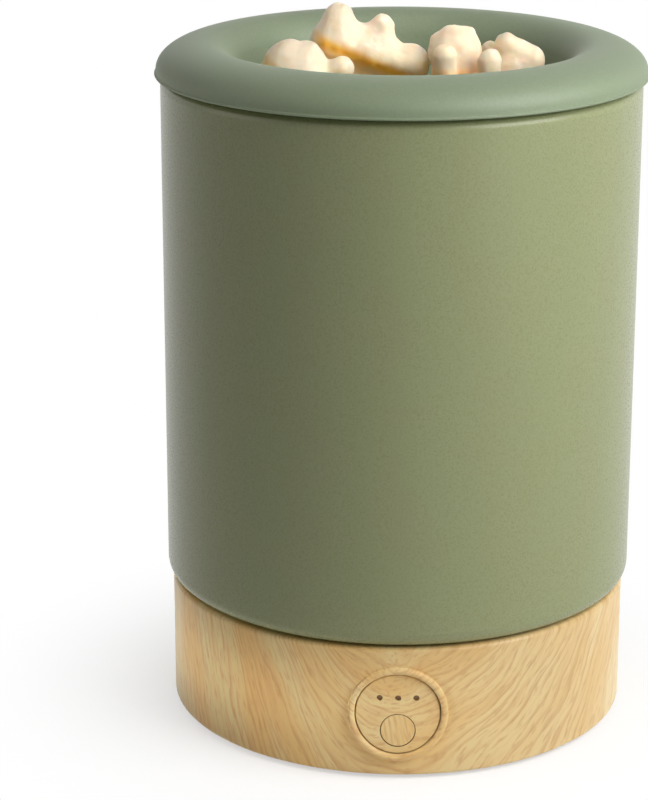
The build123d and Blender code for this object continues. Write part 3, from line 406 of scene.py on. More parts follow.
def cloudy_wax():
    finish = Finish(
        "cream wax",
        specular_ior_level=0.4,
        subsurface_weight=0.6,
        subsurface_radius=scatter_by_colour,
        subsurface_scale=wax_scatter * MM,
    )
    amber_shade = finish.add("ShaderNodeAttribute", {"attribute_name": "amber_shade"}, out=2)
    clouds = finish.step(finish.noise(finish.point, 1 / 3.2, 3.0, 0.6), 0.3, 0.72)
    specks = finish.noise(finish.point, 2.2, 2.0)
    colour = finish.mix(clouds * 0.5, tint(255, 234, 208), tint(254, 222, 186))
    # Painted amber shade, where light glows through thick or turned-down wax.
    colour = finish.mix(amber_shade, colour, tint(255, 190, 68))
    return finish.complete(colour, clouds * 0.12 + 0.34, clouds * 0.7 + specks * 0.3, 0.12, 0.5)


wax = cloudy_wax()
print("wax scatters light over", wax_scatter, "mm")

# %% [markdown]
# The rest is what any appliance is made of. Moulded plastics and rubbers differ in colour, in how matt
# they are and in the fineness of their grain, so one function makes them all. Metals get a faint brushed
# unevenness, the hot plate gets the rings of the lathe that faced it, and a circuit board gets tracks
# under its green lacquer.

# %% Plastics, rubbers and metals
def moulded(name, colour, rough, grain=1.5, depth=0.02):
    """Moulded plastic or rubber: fine spark grain, a slight wave in colour."""
    finish = Finish(name)
    spark = finish.noise(finish.point, grain, 3.0, 0.6)
    waves = finish.noise(finish.point, 1 / 8, 1.0)
    paler = tint(*[min(255, v + 14) for v in colour])
    body = finish.mix(finish.step(waves, 0.3, 0.7) * 0.6 + spark * 0.3, tint(*colour), paler)
    return finish.complete(body, spark * 0.16 + (rough - 0.08), spark, depth, 0.4)


def metal(name, colour, rough, brush=(0.3, 0.3, 4.0)):
    """Bare metal, its marks drawn out across the brush."""
    finish = Finish(name, metallic=1.0)
    marks = finish.noise(finish.stretched(*brush), 1.0, 3.0, 0.6)
    stains = finish.noise(finish.point, 1 / 5, 2.0)
    darker = tint(*[max(0, v - 26) for v in colour])
    body = finish.mix(finish.step(stains, 0.35, 0.8) * 0.6, tint(*colour), darker)
    return finish.complete(body, marks * 0.2 + (rough - 0.1), marks, 0.01, 0.3)


ring_phase = 5.8


def turned_plate():
    """Bare aluminium faced on a lathe: rings about the middle, about a millimetre apart."""
    finish = Finish("faced aluminium", metallic=1.0)
    x, y = finish.axes()[:2]
    radius = (x * x + y * y) ** 0.5
    uneven = finish.noise(finish.point, 0.25)
    rings = finish.math("SINE", radius * ring_phase + uneven * 0.8) * 0.5 + 0.5
    stains = finish.step(uneven, 0.4, 0.75)
    colour = finish.mix(stains * 0.5, tint(206, 207, 208), tint(186, 186, 184))
    return finish.complete(colour, rings * 0.14 + 0.24, rings, 0.06, 0.8)


print("lathe rings are", round(math.tau / ring_phase, 2), "mm apart")

# %% Circuit board, and all finishes by name
def circuit_board():
    """Green lacquer over tracks, whose corners are those of an uneven brick pattern."""
    finish = Finish("green circuit board", specular_ior_level=0.5)
    settings = {"offset": 0.37, "squash": 0.6, "offset_frequency": 3, "squash_frequency": 2}
    feeds = {"Scale": 0.14, "Mortar Size": 0.035, "Brick Width": 0.6, "Row Height": 0.28}
    tracks = finish.add("ShaderNodeTexBrick", settings, {"Vector": finish.point, **feeds}, out=1)
    weave = finish.noise(finish.point, 1.8, 2.0)
    colour = finish.mix(tracks, tint(20, 82, 50), tint(52, 128, 78))
    colour = finish.mix(weave * 0.3, colour, tint(16, 64, 40))
    return finish.complete(colour, weave * 0.15 + 0.24, tracks, 0.03, 0.5)


finishes = {
    "wood_print": wood,
    "green_ceramic": glaze,
    "green_silicone": silicone,
    "wax": wax,
    "dark_plastic": moulded("black jack plastic", (34, 34, 36), 0.42),
    "white_plastic": moulded("white socket plastic", (226, 224, 214), 0.4),
    "base_plastic": moulded("brown base plastic", (92, 70, 50), 0.5),
    "heat_plastic": moulded("heat-proof plastic", (58, 56, 54), 0.55, grain=2.2),
    # The light guides are coloured as the painted shade of the small holes they fill.
    "clear_plastic": moulded("smoked light guide", (150, 114, 72), 0.3),
    "board": circuit_board(),
    "steel": metal("plated steel", (196, 197, 198), 0.32),
    "aluminium": metal("turned aluminium", (205, 206, 208), 0.38, brush=(2.0, 2.0, 0.4)),
    "brass": metal("nickelled brass", (206, 184, 128), 0.3),
    "black_rubber": moulded("black rubber", (42, 41, 40), 0.75, grain=2.5, depth=0.04),
    "pale_rubber": moulded("pale rubber", (206, 198, 184), 0.7, grain=2.5, depth=0.03),
    "red_insulation": moulded("red silicone insulation", (168, 40, 30), 0.5),
    "white_insulation": moulded("white silicone insulation", (224, 222, 216), 0.5),
    "copper": metal("enamelled copper", (190, 104, 58), 0.28, brush=(0.5, 0.5, 6.0)),
    "chip_black": moulded("black moulding compound", (28, 28, 30), 0.6, grain=3.0),
}
print("finishes:", len(finishes))

# %% [markdown]
# Each solid part comes with a plain material named after what it is made of. That name picks the finish,
# which is safer than a list of parts, because no part can be missed. The button has its own grain, as its
# print was laid on by itself, and the hot plate has its turned face.

# %% Give every solid part its finish
plain = set()
for node in nodes.values():
    for place in node.material_slots:
        plain.add(place.material)
        place.material = finishes[place.material.name]
nodes["power_button"].material_slots[0].material = button_wood
nodes["hot_plate"].material_slots[0].material = turned_plate()
for material in plain:
    bpy.data.materials.remove(material)
print("dressed", len(nodes), "solid parts from", len(plain), "plain materials")

# %% [markdown]
# New pieces are plain meshes whose place is in their points, so that they need no moving afterwards. One
# helper makes the object, shades it smooth, gives it its finish and says which body it rides on and which
# solid part it stands for. That way no piece is left without a body.

# %% A helper for new pieces
def new_piece(name, mesh, body, slot, stands_for=()):
    """A piece with the finish of its slot."""
    mesh.name = name
    mesh.materials.clear()
    mesh.materials.append(finishes[slot])
    mesh.polygons.foreach_set("use_smooth", [True] * len(mesh.polygons))
    piece = put(name, mesh)
    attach(piece, body)
    if stands_for:
        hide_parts(*stands_for)
    return piece


def mesh_of(points, faces, edges=()):
    """A mesh from points in millimetres."""
    mesh = bpy.data.meshes.new("mesh")
    mesh.from_pydata([[v * MM for v in p] for p in points], edges, faces)
    mesh.update()
    return mesh


# %% [markdown]
# The dish is a turned shape: one outline goes once round the axis. A solid modeller cuts such a shape
# into flat facets, while a lathe of our own puts even rings where the light turns fast. The outline starts
# in the middle of the bowl, climbs its wall, rolls over the crest and comes down to a thin moulding edge
# at the lip, which catches the light as a fine line above the seam.

# %% Lathe
def arc(cx, cz, radius, start, end, count):
    """Points on an arc, angles in degrees, its first point left out."""
    turns = [math.radians(start + (end - start) * i / count) for i in range(1, count + 1)]
    return [(cx + radius * math.cos(a), cz + radius * math.sin(a)) for a in turns]


def on_circle(radius, i, count):
    """Point i of count on a circle round the axis."""
    turn = math.tau * i / count
    return radius * math.cos(turn), radius * math.sin(turn)


def beside(radius, height, offsets):
    """Points given by how far out and how far up they lie from a corner."""
    return [(radius + out, height + up) for out, up in offsets]


def face_outwards(mesh):
    """Closes seams and turns every face outwards."""
    form = bmesh.new()
    form.from_mesh(mesh)
    bmesh.ops.remove_doubles(form, verts=form.verts, dist=1e-7)
    bmesh.ops.recalc_face_normals(form, faces=form.faces)
    form.to_mesh(mesh)
    form.free()
    return mesh


def lathe(outline, count=288):
    """Turns an outline of (radius, height) round the axis. It starts and ends on the axis, or closes."""
    points, rings = [], []
    for radius, height in outline:
        if radius < 1e-6:
            rings.append([len(points)])
            points.append((0, 0, height))
            continue
        rings.append(list(range(len(points), len(points) + count)))
        points += [(*on_circle(radius, i, count), height) for i in range(count)]
    faces = []
    for a, b in zip(rings, rings[1:] + rings[:1]):
        if len(a) == len(b) == 1:
            continue
        for i in range(count):
            j = (i + 1) % count
            ring_a = [a[0]] if len(a) == 1 else [a[i], a[j]]
            ring_b = [b[0]] if len(b) == 1 else [b[j], b[i]]
            faces.append(ring_a + ring_b)
    return face_outwards(mesh_of(points, faces))


# %% Silicone dish
dish_high = box_mm("silicone_dish")[1]
dish_rise, bowl_depth, skirt_depth = 7.5, 20.0, 4.0
lip_r, crest_z = dish_high.x, dish_high.z
lip_z, floor_z = crest_z - dish_rise, crest_z - bowl_depth
crest_r, roll_r, roll_turn = 45.21, 7.48, 78.0
floor_round, wall = 5.0, 2.3
draft = 90.0 - roll_turn
throat_r = crest_r - roll_r * math.cos(math.radians(draft))
throat_z = crest_z - roll_r + roll_r * math.sin(math.radians(draft))
foot_r = throat_r - (throat_z - floor_z) * math.tan(math.radians(draft))
flat_r = foot_r - floor_round * math.tan(math.radians(roll_turn / 2))
skirt_r, skirt_in_r, skirt_z = 50.6, 48.8, lip_z - skirt_depth
edge_inset, edge_rise = 0.34, 1.3
moulding_edge = [(-edge_inset, 0.74), (0.02 - edge_inset, 0.66), (0.08 - edge_inset, 0.62), (-0.06, 0.55)]
moulding_edge += [(0, 0.44), (0, 0.3), (-0.1, 0.12), (-0.35, 0)]


def dish_outline():
    """From the middle of the bowl over the crest to the lip, and back below."""
    out = [(flat_r * i / 10, floor_z) for i in range(11)]
    out += arc(flat_r, floor_z + floor_round, floor_round, -90.0, -draft, 14)
    for i in range(3, 6):
        out.append((foot_r + (throat_r - foot_r) * i / 6, floor_z + (throat_z - floor_z) * i / 6))
    out += arc(crest_r, crest_z - roll_r, roll_r, 90.0 + roll_turn, 90.0, 24)
    crown_r, crown_z = lip_r - edge_inset - crest_r, lip_z + edge_rise
    for i in range(1, 33):
        a = math.radians(90.0 - 90.0 * i / 32)
        out.append((crest_r + crown_r * math.cos(a), crown_z + (crest_z - crown_z) * math.sin(a)))
    out += beside(lip_r, lip_z, moulding_edge)
    out += beside(skirt_r, lip_z, [(0.5, 0), (0.1, -0.12), (0, -0.5)])
    out += beside(skirt_r, skirt_z, [(0, 0.6), (-0.15, 0.2), (-0.6, 0)])
    out += beside(skirt_in_r, skirt_z, [(0.3, 0), (0, 0.3)])
    out += beside(skirt_in_r, crest_z - wall, [(0, -1.0), (-0.3, -0.3), (-1.0, 0)])
    out.append((crest_r, crest_z - wall))
    out += arc(crest_r, crest_z - roll_r, roll_r - wall, 90.0, 90.0 + roll_turn, 12)
    out += arc(flat_r, floor_z + floor_round, floor_round + wall, -draft, -90.0, 10)
    return out + [(0, floor_z - wall)]


dish = new_piece("silicone_dish_soft", lathe(dish_outline()), "dish", "green_silicone", ["silicone_dish"])
print("dish faces:", len(dish.data.polygons), "flat floor radius:", round(flat_r, 2))

# %% [markdown]
# Wax melts are cast lumps that have begun to soften, so nothing on them is sharp and every limb flows
# into the body. Metaballs would do, but they give little control. Here each melt is a set of tapered
# limbs between two balls. A field adds the distances to all limbs softly, a coarse remeshed union gives
# the faces, and each point is then slid along the field's slope until it lies on its zero.

# %% The field of a melt
def limb_distance(points, start, end):
    """Distance from points to a tapered limb, each end an array of x, y, z and radius."""
    a, b, r1, r2 = start[:3], end[:3], start[3], end[3]
    ba, pa = b - a, points - a
    l2, rr = ba @ ba, r1 - r2
    a2, il2 = l2 - rr * rr, 1.0 / l2
    y = pa @ ba
    z = y - l2
    x2 = ((pa * l2 - ba * y[:, None]) ** 2).sum(1)
    y2, z2 = y * y * l2, z * z * l2
    k = np.sign(rr) * rr * rr * x2
    end_cap = np.sqrt(x2 + z2) * il2 - r2
    start_cap = np.sqrt(x2 + y2) * il2 - r1
    side = (np.sqrt(x2 * a2 * il2) + y * rr) * il2 - r1
    return np.where(np.sign(z) * a2 * z2 > k, end_cap, np.where(np.sign(y) * a2 * y2 < k, start_cap, side))


def melt_field(points, limbs, soft):
    """Soft union of the limbs: below zero inside."""
    total = np.zeros(len(points))
    for start, end in limbs:
        total += np.exp(-limb_distance(points, start, end) / soft)
    return -soft * np.log(np.maximum(total, 1e-30))


def field_slope(points, limbs, soft, reach=0.02):
    """How the field climbs along x, y and z, from a step ahead and a step behind."""
    slope = np.zeros_like(points)
    for axis in range(3):
        step = np.zeros(3)
        step[axis] = reach
        ahead = melt_field(points + step, limbs, soft)
        slope[:, axis] = (ahead - melt_field(points - step, limbs, soft)) / (2 * reach)
    return slope


# %% A melt from its limbs
# Lengths are in millimetres.
melt_voxel, melt_skin = 0.42, 0.35
slide_rounds, slide_share = 8, 0.9
wave_size, wave_height, dent_size, dent_height = 4.5, 0.36, 1.6, 0.1
amber_depth, amber_ends, amber_loss = 1.7, 3.0, 0.55


def soft_step(values):
    """Zero below 0, one above 1, and smooth between."""
    held = np.clip(values, 0, 1)
    return held * held * (3 - 2 * held)


def rough_union(limbs):
    """Coarse closed mesh round all limbs, in millimetres."""
    form = bmesh.new()
    for start, end in limbs:
        for t in np.linspace(0, 1, 7):
            x, y, z, r = start + (end - start) * t
            ball = bmesh.ops.create_icosphere(form, subdivisions=2, radius=r + 0.1)
            bmesh.ops.translate(form, verts=ball["verts"], vec=(x, y, z))
    mesh = bpy.data.meshes.new("rough")
    form.to_mesh(mesh)
    form.free()
    lump = put("rough", mesh)
    remesh = lump.modifiers.new("remesh", "REMESH")
    remesh.mode = "VOXEL"
    remesh.voxel_size = melt_voxel
    made = bpy.data.meshes.new_from_object(lump.evaluated_get(bpy.context.evaluated_depsgraph_get()))
    bpy.data.objects.remove(lump)
    return made


def unevenness(point):
    """How far hand-poured wax stands proud at a point."""
    waves = noise.fractal(Vector(point / wave_size), 1.0, 2.0, 3) * wave_height
    return waves + noise.noise(Vector(point / dent_size)) * dent_height


def amber_shade_share(points, amber):
    """How much painted amber shade each point gets: most just below a sloping line, and less deeper down."""
    share, line_height, line_slope, line_start, line_end = amber
    below = (line_height + line_slope * points[:, 0] - (points[:, 2] - floor_z)) / amber_depth
    before = soft_step((line_end - points[:, 0]) / amber_ends)
    after = soft_step((points[:, 0] - line_start) / amber_ends)
    deeper = 1 - amber_loss * soft_step((below - 1.4) / 1.6)
    return share * soft_step(below * 0.7) * before * after * deeper


def melt_mesh(parts, soft, amber):
    """Points slid onto the field, made uneven, and each given its share of painted amber shade."""
    lift = np.array([0, 0, floor_z, -melt_skin])
    limbs = [(np.array(a, float) + lift, np.array(b, float) + lift) for a, b in parts]
    mesh = rough_union(limbs)
    points = np.zeros(len(mesh.vertices) * 3)
    mesh.vertices.foreach_get("co", points)
    points = points.reshape(-1, 3)
    for _ in range(slide_rounds):
        slope = field_slope(points, limbs, soft)
        away = melt_field(points, limbs, soft)
        points -= slope * (away / np.maximum((slope**2).sum(1), 0.1))[:, None] * slide_share
    slope = field_slope(points, limbs, soft)
    normal = slope / np.maximum(np.linalg.norm(slope, axis=1), 1e-9)[:, None]
    points += normal * np.array([unevenness(p) for p in points])[:, None]
    points[:, 2] = np.maximum(points[:, 2], floor_z + 0.02)
    mesh.vertices.foreach_set("co", (points * MM).ravel())
    amber_shade = amber_shade_share(points, amber).astype(np.float32)
    mesh.attributes.new("amber_shade", "FLOAT", "POINT").data.foreach_set("value", amber_shade)
    mesh.update()
    return mesh


# %% [markdown]
# Four melts lie in the dish: a round one at the front left, a big one with two humps behind it, one in
# the middle and one on the right, each with stubby limbs. The numbers are x, y, height above the bowl's
# floor and radius of each ball, in millimetres. The wax gets painted amber shade below a line that slopes
# with x: how strongly, its height over the axis, its slope, and how far left and right it goes.

# %% The four melts
front_left_melt = [
    ((-25.7, -12.0, 15.6, 6.2), (-22.6, -11.6, 15.6, 6.1)),
    ((-23.5, -10.8, 12.5, 5.9), (-21.5, -9.5, 3.1, 5.4)),
    ((-24.6, -12.6, 20.0, 2.1), (-24.4, -12.2, 17.5, 3.3)),
    ((-20.5, -12.4, 20.0, 2.0), (-21.4, -12.0, 17.5, 3.1)),
    ((-13.4, -12.0, 15.4, 3.1), (-18.0, -11.6, 13.2, 3.3)),
    ((-20.8, -15.6, 13.6, 3.4), (-21.0, -12.0, 9.0, 4.4)),
]
back_melt = [
    ((-14.4, 1.0, 24.5, 4.0), (-15.0, 1.0, 18.4, 6.1)),
    ((-14.6, 1.0, 18.2, 5.6), (-4.6, 1.0, 16.6, 5.0)),
    ((-12.6, 1.0, 20.2, 3.8), (-6.2, 1.0, 19.9, 3.7)),
    ((-4.4, 1.0, 22.9, 3.1), (-4.7, 1.0, 17.0, 3.5)),
    ((2.1, 0.4, 14.5, 4.8), (-1.9, 0.8, 13.9, 4.7)),
    ((-16.6, -1.9, 19.6, 2.7), (-7.0, -2.2, 17.0, 2.8)),
    ((-7.0, -2.2, 17.0, 2.8), (1.6, -1.8, 14.0, 2.9)),
    ((-13.5, 2.8, 13.0, 5.2), (-1.5, 2.8, 9.8, 4.8)),
    ((-12.4, 2.6, 11.0, 5.1), (-12.0, 2.5, 2.6, 4.6)),
    ((-2.0, 2.8, 9.0, 4.6), (-1.5, 3.0, 2.6, 4.2)),
]
middle_melt = [
    ((12.1, -3.0, 17.8, 6.4), (12.4, -3.2, 16.4, 6.2)),
    ((13.0, -3.4, 12.0, 5.3), (13.5, -3.0, 3.0, 4.9)),
    ((8.2, -3.0, 20.7, 2.0), (9.8, -3.0, 19.2, 2.6)),
    ((14.8, -3.0, 22.1, 2.0), (13.8, -3.0, 19.8, 2.8)),
    ((9.4, -11.0, 18.2, 3.1), (9.7, -10.2, 12.5, 3.3)),
    ((9.7, -9.8, 11.5, 3.3), (12.0, -4.5, 7.5, 3.3)),
    ((19.7, -10.7, 17.2, 3.0), (19.5, -10.0, 12.0, 3.2)),
    ((19.6, -9.6, 11.5, 3.2), (16.0, -4.5, 7.5, 3.2)),
    ((14.7, -5.2, 13.2, 4.2), (14.0, -4.6, 9.5, 4.4)),
]
right_melt = [
    ((24.1, 1.0, 18.3, 3.3), (29.5, 1.0, 15.5, 3.4)),
    ((24.6, 3.2, 16.6, 3.2), (28.6, 3.0, 14.6, 3.4)),
    ((25.0, 1.8, 13.6, 5.2), (24.5, 1.9, 3.0, 4.9)),
    ((28.4, 1.4, 12.6, 4.5), (25.5, 1.9, 8.0, 4.7)),
    ((20.2, 4.6, 17.0, 2.3), (23.5, 3.0, 13.0, 3.0)),
]
melts = {
    "front_left_melt": ("wax_melt_1", front_left_melt, 0.6, (0.5, -4.0, -0.8, -60.0, -17.0)),
    "back_melt": ("wax_melt_2", back_melt, 0.7, (1.0, 14.9, -0.42, -21.0, 7.0)),
    "middle_melt": ("wax_melt_3", middle_melt, 0.3, (0.5, 17.6, -0.12, -60.0, 60.0)),
    "right_melt": ("wax_melt_4", right_melt, 0.5, (0.35, 13.5, 0.0, -60.0, 60.0)),
}
for name, (solid, parts, soft, amber) in melts.items():
    melt = new_piece(name, melt_mesh(parts, soft, amber), "wax", "wax", [solid])
    print(name, "faces:", len(melt.data.polygons))

# %% [markdown]
# Small parts that repeat are set out by Geometry Nodes. A blank is turned once, as a screw is on a
# lathe, points say where its copies go, and one tree stands a copy on every point. Each tree has named
# inputs, and it ends in Realize Instances and Set Material, because the file that leaves Blender keeps no
# instances. The grown mesh is then taken off as a plain one, so no modifier stays on any piece. The points
# come from the solids: a node of screws is several loose solids, and the box of each says where it stands.

# %% Trees that grow parts
class Grower(Wiring):
    """A Geometry Nodes tree with named inputs."""

    def __init__(self, name):
        super().__init__(bpy.data.node_groups.new(name, "GeometryNodeTree"))
        self.entry = self.tree.nodes.new("NodeGroupInput")
        self.result = self.tree.nodes.new("NodeGroupOutput")
        for way in ("INPUT", "OUTPUT"):
            self.tree.interface.new_socket("Geometry", in_out=way, socket_type="NodeSocketGeometry")
        self.places = Signal(self, self.entry.outputs[0])
        self.inputs = {}

    def given(self, name, value, kind="Float"):
        """A named input of the tree and the value it gets."""
        socket = self.tree.interface.new_socket(name, in_out="INPUT", socket_type="NodeSocket" + kind)
        self.inputs[socket.identifier] = value
        return Signal(self, self.entry.outputs[name])

    def tube(self, path, radius, sides):
        """A closed tube along a path."""
        profile = self.add("GeometryNodeCurvePrimitiveCircle", None, {"Radius": radius, "Resolution": sides})
        feeds = {"Curve": path, "Profile Curve": profile, "Fill Caps": True}
        return self.add("GeometryNodeCurveToMesh", None, feeds)

    def stand(self, points, instance, **more):
        """An instance on every point."""
        feeds = {"Points": points, "Instance": instance, **more}
        return self.add("GeometryNodeInstanceOnPoints", None, feeds)

    def grow(self, made, finish, points, edges=()):
        """Ends the tree, runs it on a mesh of points in millimetres and returns a plain mesh."""
        whole = self.add("GeometryNodeRealizeInstances", None, {0: made})
        coat = self.given("Finish", finish, "Material")
        self.feed(self.result.inputs[0], self.add("GeometryNodeSetMaterial", None, {0: whole, 2: coat}))
        seed = put("places", mesh_of(points, [], edges))
        modifier = seed.modifiers.new("grow", "NODES")
        modifier.node_group = self.tree
        for identifier, value in self.inputs.items():
            modifier[identifier] = value
        grown = bpy.data.meshes.new_from_object(seed.evaluated_get(bpy.context.evaluated_depsgraph_get()))
        bpy.data.objects.remove(seed)
        return grown


def set_out(name, blank, points, slot, turn=(0, 0, 0), stands_for=()):
    """A piece of the warmer: one copy of a blank on every point, all turned the same way."""
    tree = Grower(name)
    part = bpy.data.objects.new("blank", blank)
    feeds = {"Object": tree.given("Part", part, "Object")}
    shape = tree.add("GeometryNodeObjectInfo", None, feeds, out="Geometry")
    placed = tree.stand(tree.places, shape, Rotation=tree.given("Turn", turn, "Vector"))
    grown = tree.grow(placed, finishes[slot], points)
    bpy.data.objects.remove(part)
    return new_piece(name, grown, "warmer", slot, stands_for)


# %% Places of the separate solids in one CAD node
def loose_boxes(name):
    """Lowest and highest corner of each separate solid of a node, in millimetres."""
    form = bmesh.new()
    form.from_mesh(nodes[name].data)
    bmesh.ops.remove_doubles(form, verts=form.verts, dist=1e-6)
    left, boxes = set(form.verts), []
    while left:
        queue = [left.pop()]
        low, high = queue[0].co.copy(), queue[0].co.copy()
        while queue:
            vert = queue.pop()
            low = Vector(map(min, low, vert.co))
            high = Vector(map(max, high, vert.co))
            for edge in vert.link_edges:
                other = edge.other_vert(vert)
                if other in left:
                    left.discard(other)
                    queue.append(other)
        boxes.append((low / MM, high / MM))
    form.free()
    return sorted(boxes, key=lambda box: tuple(box[0]))


# %% [markdown]
# A screw has three things that tell it from a peg: a rounded or countersunk head, a cross in the head,
# and a thread. Cutting the cross with a Boolean would leave long thin faces. All three are a matter of
# where the rings of a lathe put their points: the cross is pressed down into the head's face, and the
# thread is a radius that waves with height and turns with the angle. These screws stand for the plain ones
# of the solid model, in the same places and sizes.

# %% Screw blank
ring_points, rings_per_turn = 32, 4
# Shares of the head's radius, and for the cross's depth of the head's height.
head_rings = (0.12, 0.17, 0.25, 0.34, 0.42, 0.5, 0.56, 0.62)
cross_arm, cross_reach, cross_depth, cross_slope = 0.17, 0.56, 0.55, 0.4
dome_round, sunk_flat = 0.3, 0.97
# Shares of the shank's radius.
thread_pitch, thread_depth, tip = 0.4, 0.16, 0.6


def pressed_cross(x, y, head_r, head_h):
    """How deep the cross is at a point of the head's face."""
    near, far = sorted((abs(x), abs(y)))
    if near > cross_arm * head_r or far > cross_reach * head_r:
        return 0.0
    return cross_depth * head_h * (1 - cross_slope * far / (cross_reach * head_r))


def screw_blank(radius, head_r, head_h, length, countersunk):
    """A cross-head screw, its seat at the origin and its shank up. A countersunk one starts at its face."""
    face = 0.0 if countersunk else -head_h
    rings = [(head_r * share, face) for share in head_rings]
    if countersunk:
        rings += [(head_r * sunk_flat, face), (head_r, face + 0.08), (radius, head_h)]
    else:
        dome = head_r * dome_round
        rings += arc(head_r - dome, face + dome, dome, -90.0, 0.0, 5)
        rings += [(head_r, 0.0), (radius, 0.0)]
    shank_start = max(rings[-1][1], 0.0)
    pitch = radius * thread_pitch
    steps = int((length - shank_start - radius * tip) / (pitch / rings_per_turn))
    points = [(0, 0, face + pressed_cross(0, 0, head_r, head_h))]
    for r, z in rings:
        for i in range(ring_points):
            x, y = on_circle(r, i, ring_points)
            points.append((x, y, z + (pressed_cross(x, y, head_r, head_h) if z == face else 0.0)))
    for step in range(1, steps + 1):
        z = shank_start + step * pitch / rings_per_turn
        for i in range(ring_points):
            wave = abs((z / pitch - i / ring_points) % 1.0 - 0.5) * 2
            r = radius * (1 - thread_depth + thread_depth * wave)
            points.append((*on_circle(r, i, ring_points), z))
    points += [(*on_circle(radius * tip, i, ring_points), length) for i in range(ring_points)]
    points.append((0, 0, length))
    count = (len(points) - 2) // ring_points
    faces = [(0, 1 + (i + 1) % ring_points, 1 + i) for i in range(ring_points)]
    for ring in range(count - 1):
        a = 1 + ring * ring_points
        b = a + ring_points
        for i in range(ring_points):
            j = (i + 1) % ring_points
            faces.append((a + i, a + j, b + j, b + i))
    last = 1 + (count - 1) * ring_points
    faces += [(len(points) - 1, last + i, last + (i + 1) % ring_points) for i in range(ring_points)]
    return face_outwards(mesh_of(points, faces))


# %% Screws
# Each size is the shank's radius, the head's radius and the head's height.
small_screw = (1.0, 1.9, 1.3)
large_screw = (1.5, 2.75, 2.0)
sunk_screw = (1.5, 2.75, 1.7)
upright, upside_down, towards_front = (0, 0, 0), (math.pi, 0, 0), (math.pi / 2, 0, 0)
screw_sets = {
    "base_plate_screws": (sunk_screw, upright),
    "control_board_screws": (small_screw, towards_front),
    "main_board_screws": (small_screw, upside_down),
    "clamp_screws": (large_screw, upright),
    "holder_screws": (small_screw, upright),
    "element_screws": (large_screw, upright),
    "thermistor_screw": (small_screw, upright),
}
for name, (sizes, turn) in screw_sets.items():
    boxes = loose_boxes(name)
    sunk = sizes is sunk_screw
    head_h = sizes[2]
    seat = 0.0 if sunk else head_h
    places = []
    for low, high in boxes:
        x, y, z = (low + high) / 2
        if turn is upright:
            z = low.z + seat
        elif turn is upside_down:
            z = high.z - seat
        else:
            y = high.y - seat
        places.append((x, y, z))
    run = max(boxes[0][1] - boxes[0][0]) - seat
    blank = screw_blank(*sizes, run, sunk)
    set_out(name + "_cut", blank, places, "steel", turn, [name])
    print(name, len(places), "screws of", round(run, 1), "mm")

# %% [markdown]
# The power coil is a drum wound with enamelled wire, and the ribbon cable is a row of thin round wires
# laid side by side. A bumpy material would do from afar, but its outline would stay straight. Both follow
# a path, so a path is all they are given: a spiral round the drum's core, and the cable's own line with its
# one sag, copied sideways for every wire.

# %% Coil winding
coil_low, coil_high = box_mm("power_coil")
coil_wire, coil_flange, coil_core = 0.25, 1.2, 4.2
coil_pitch = 2.06 * coil_wire
coil_tree = Grower("coil winding")
wire_radius = coil_tree.given("Wire Radius", coil_wire * MM)
winding_height = (coil_high.z - coil_low.z - 2 * coil_flange - 2 * coil_wire) * MM
turns = coil_tree.given("Turns", winding_height / MM / coil_pitch)
feeds = {
    "Resolution": 40,
    "Rotations": turns,
    "Start Radius": coil_tree.given("Inner Radius", (coil_core + coil_wire) * MM),
    "End Radius": coil_tree.given("Outer Radius", (coil_core + coil_wire) * MM),
    "Height": coil_tree.given("Height", winding_height),
}
spiral = coil_tree.add("GeometryNodeCurveSpiral", None, feeds)
wound = coil_tree.tube(spiral, wire_radius, 8)
coil_place = [(*((coil_low + coil_high) / 2).xy, coil_low.z + coil_flange + coil_wire)]
coil_mesh = coil_tree.grow(coil_tree.stand(coil_tree.places, wound), finishes["copper"], coil_place)
new_piece("power_coil_winding", face_outwards(coil_mesh), "warmer", "copper")
print("coil turns:", round(winding_height / MM / coil_pitch, 1))

# %% Ribbon cable
ribbon_low, ribbon_high = box_mm("ribbon_cable")
ribbon_wires, ribbon_thick, ribbon_sag, ribbon_bend = 12, 0.7, 3.4, 16.0
ribbon_z = ribbon_high.z - ribbon_thick / 2
ribbon_run = (ribbon_high.y - ribbon_low.y) * 0.2
ribbon_line = [
    (0, ribbon_low.y, ribbon_z),
    (0, ribbon_low.y + ribbon_run, ribbon_z),
    (0, (ribbon_low.y + ribbon_high.y) / 2, ribbon_z - ribbon_sag),
    (0, ribbon_high.y - ribbon_run, ribbon_z),
    (0, ribbon_high.y, ribbon_z),
]
ribbon_tree = Grower("ribbon cable")
pitch = (ribbon_high.x - ribbon_low.x - ribbon_thick) / (ribbon_wires - 1)
line = ribbon_tree.add("GeometryNodeMeshToCurve", None, {0: ribbon_tree.places})
bend_radius = ribbon_tree.given("Bend Radius", ribbon_bend * MM)
feeds = {"Curve": line, "Count": 10, "Radius": bend_radius, "Limit Radius": True}
bent = ribbon_tree.add("GeometryNodeFilletCurve", {"mode": "POLY"}, feeds)
feeds = {
    "Count": ribbon_tree.given("Wires", ribbon_wires, "Int"),
    "Start Location": ((ribbon_low.x + ribbon_thick / 2) * MM, 0, 0),
    "Offset": ribbon_tree.given("Pitch", (pitch * MM, 0, 0), "Vector"),
}
row = ribbon_tree.add("GeometryNodeMeshLine", {"mode": "OFFSET"}, feeds)
whole_row = ribbon_tree.add("GeometryNodeRealizeInstances", None, {0: ribbon_tree.stand(row, bent)})
ribs = ribbon_tree.tube(whole_row, ribbon_tree.given("Wire Radius", ribbon_thick / 2 * MM), 12)
ribbon_edges = [(i, i + 1) for i in range(len(ribbon_line) - 1)]
ribbon_mesh = ribbon_tree.grow(ribs, finishes["white_insulation"], ribbon_line, ribbon_edges)
new_piece("ribbon_cable_ribbed", face_outwards(ribbon_mesh), "warmer", "white_insulation", ["ribbon_cable"])
print("ribbon wires:", ribbon_wires)

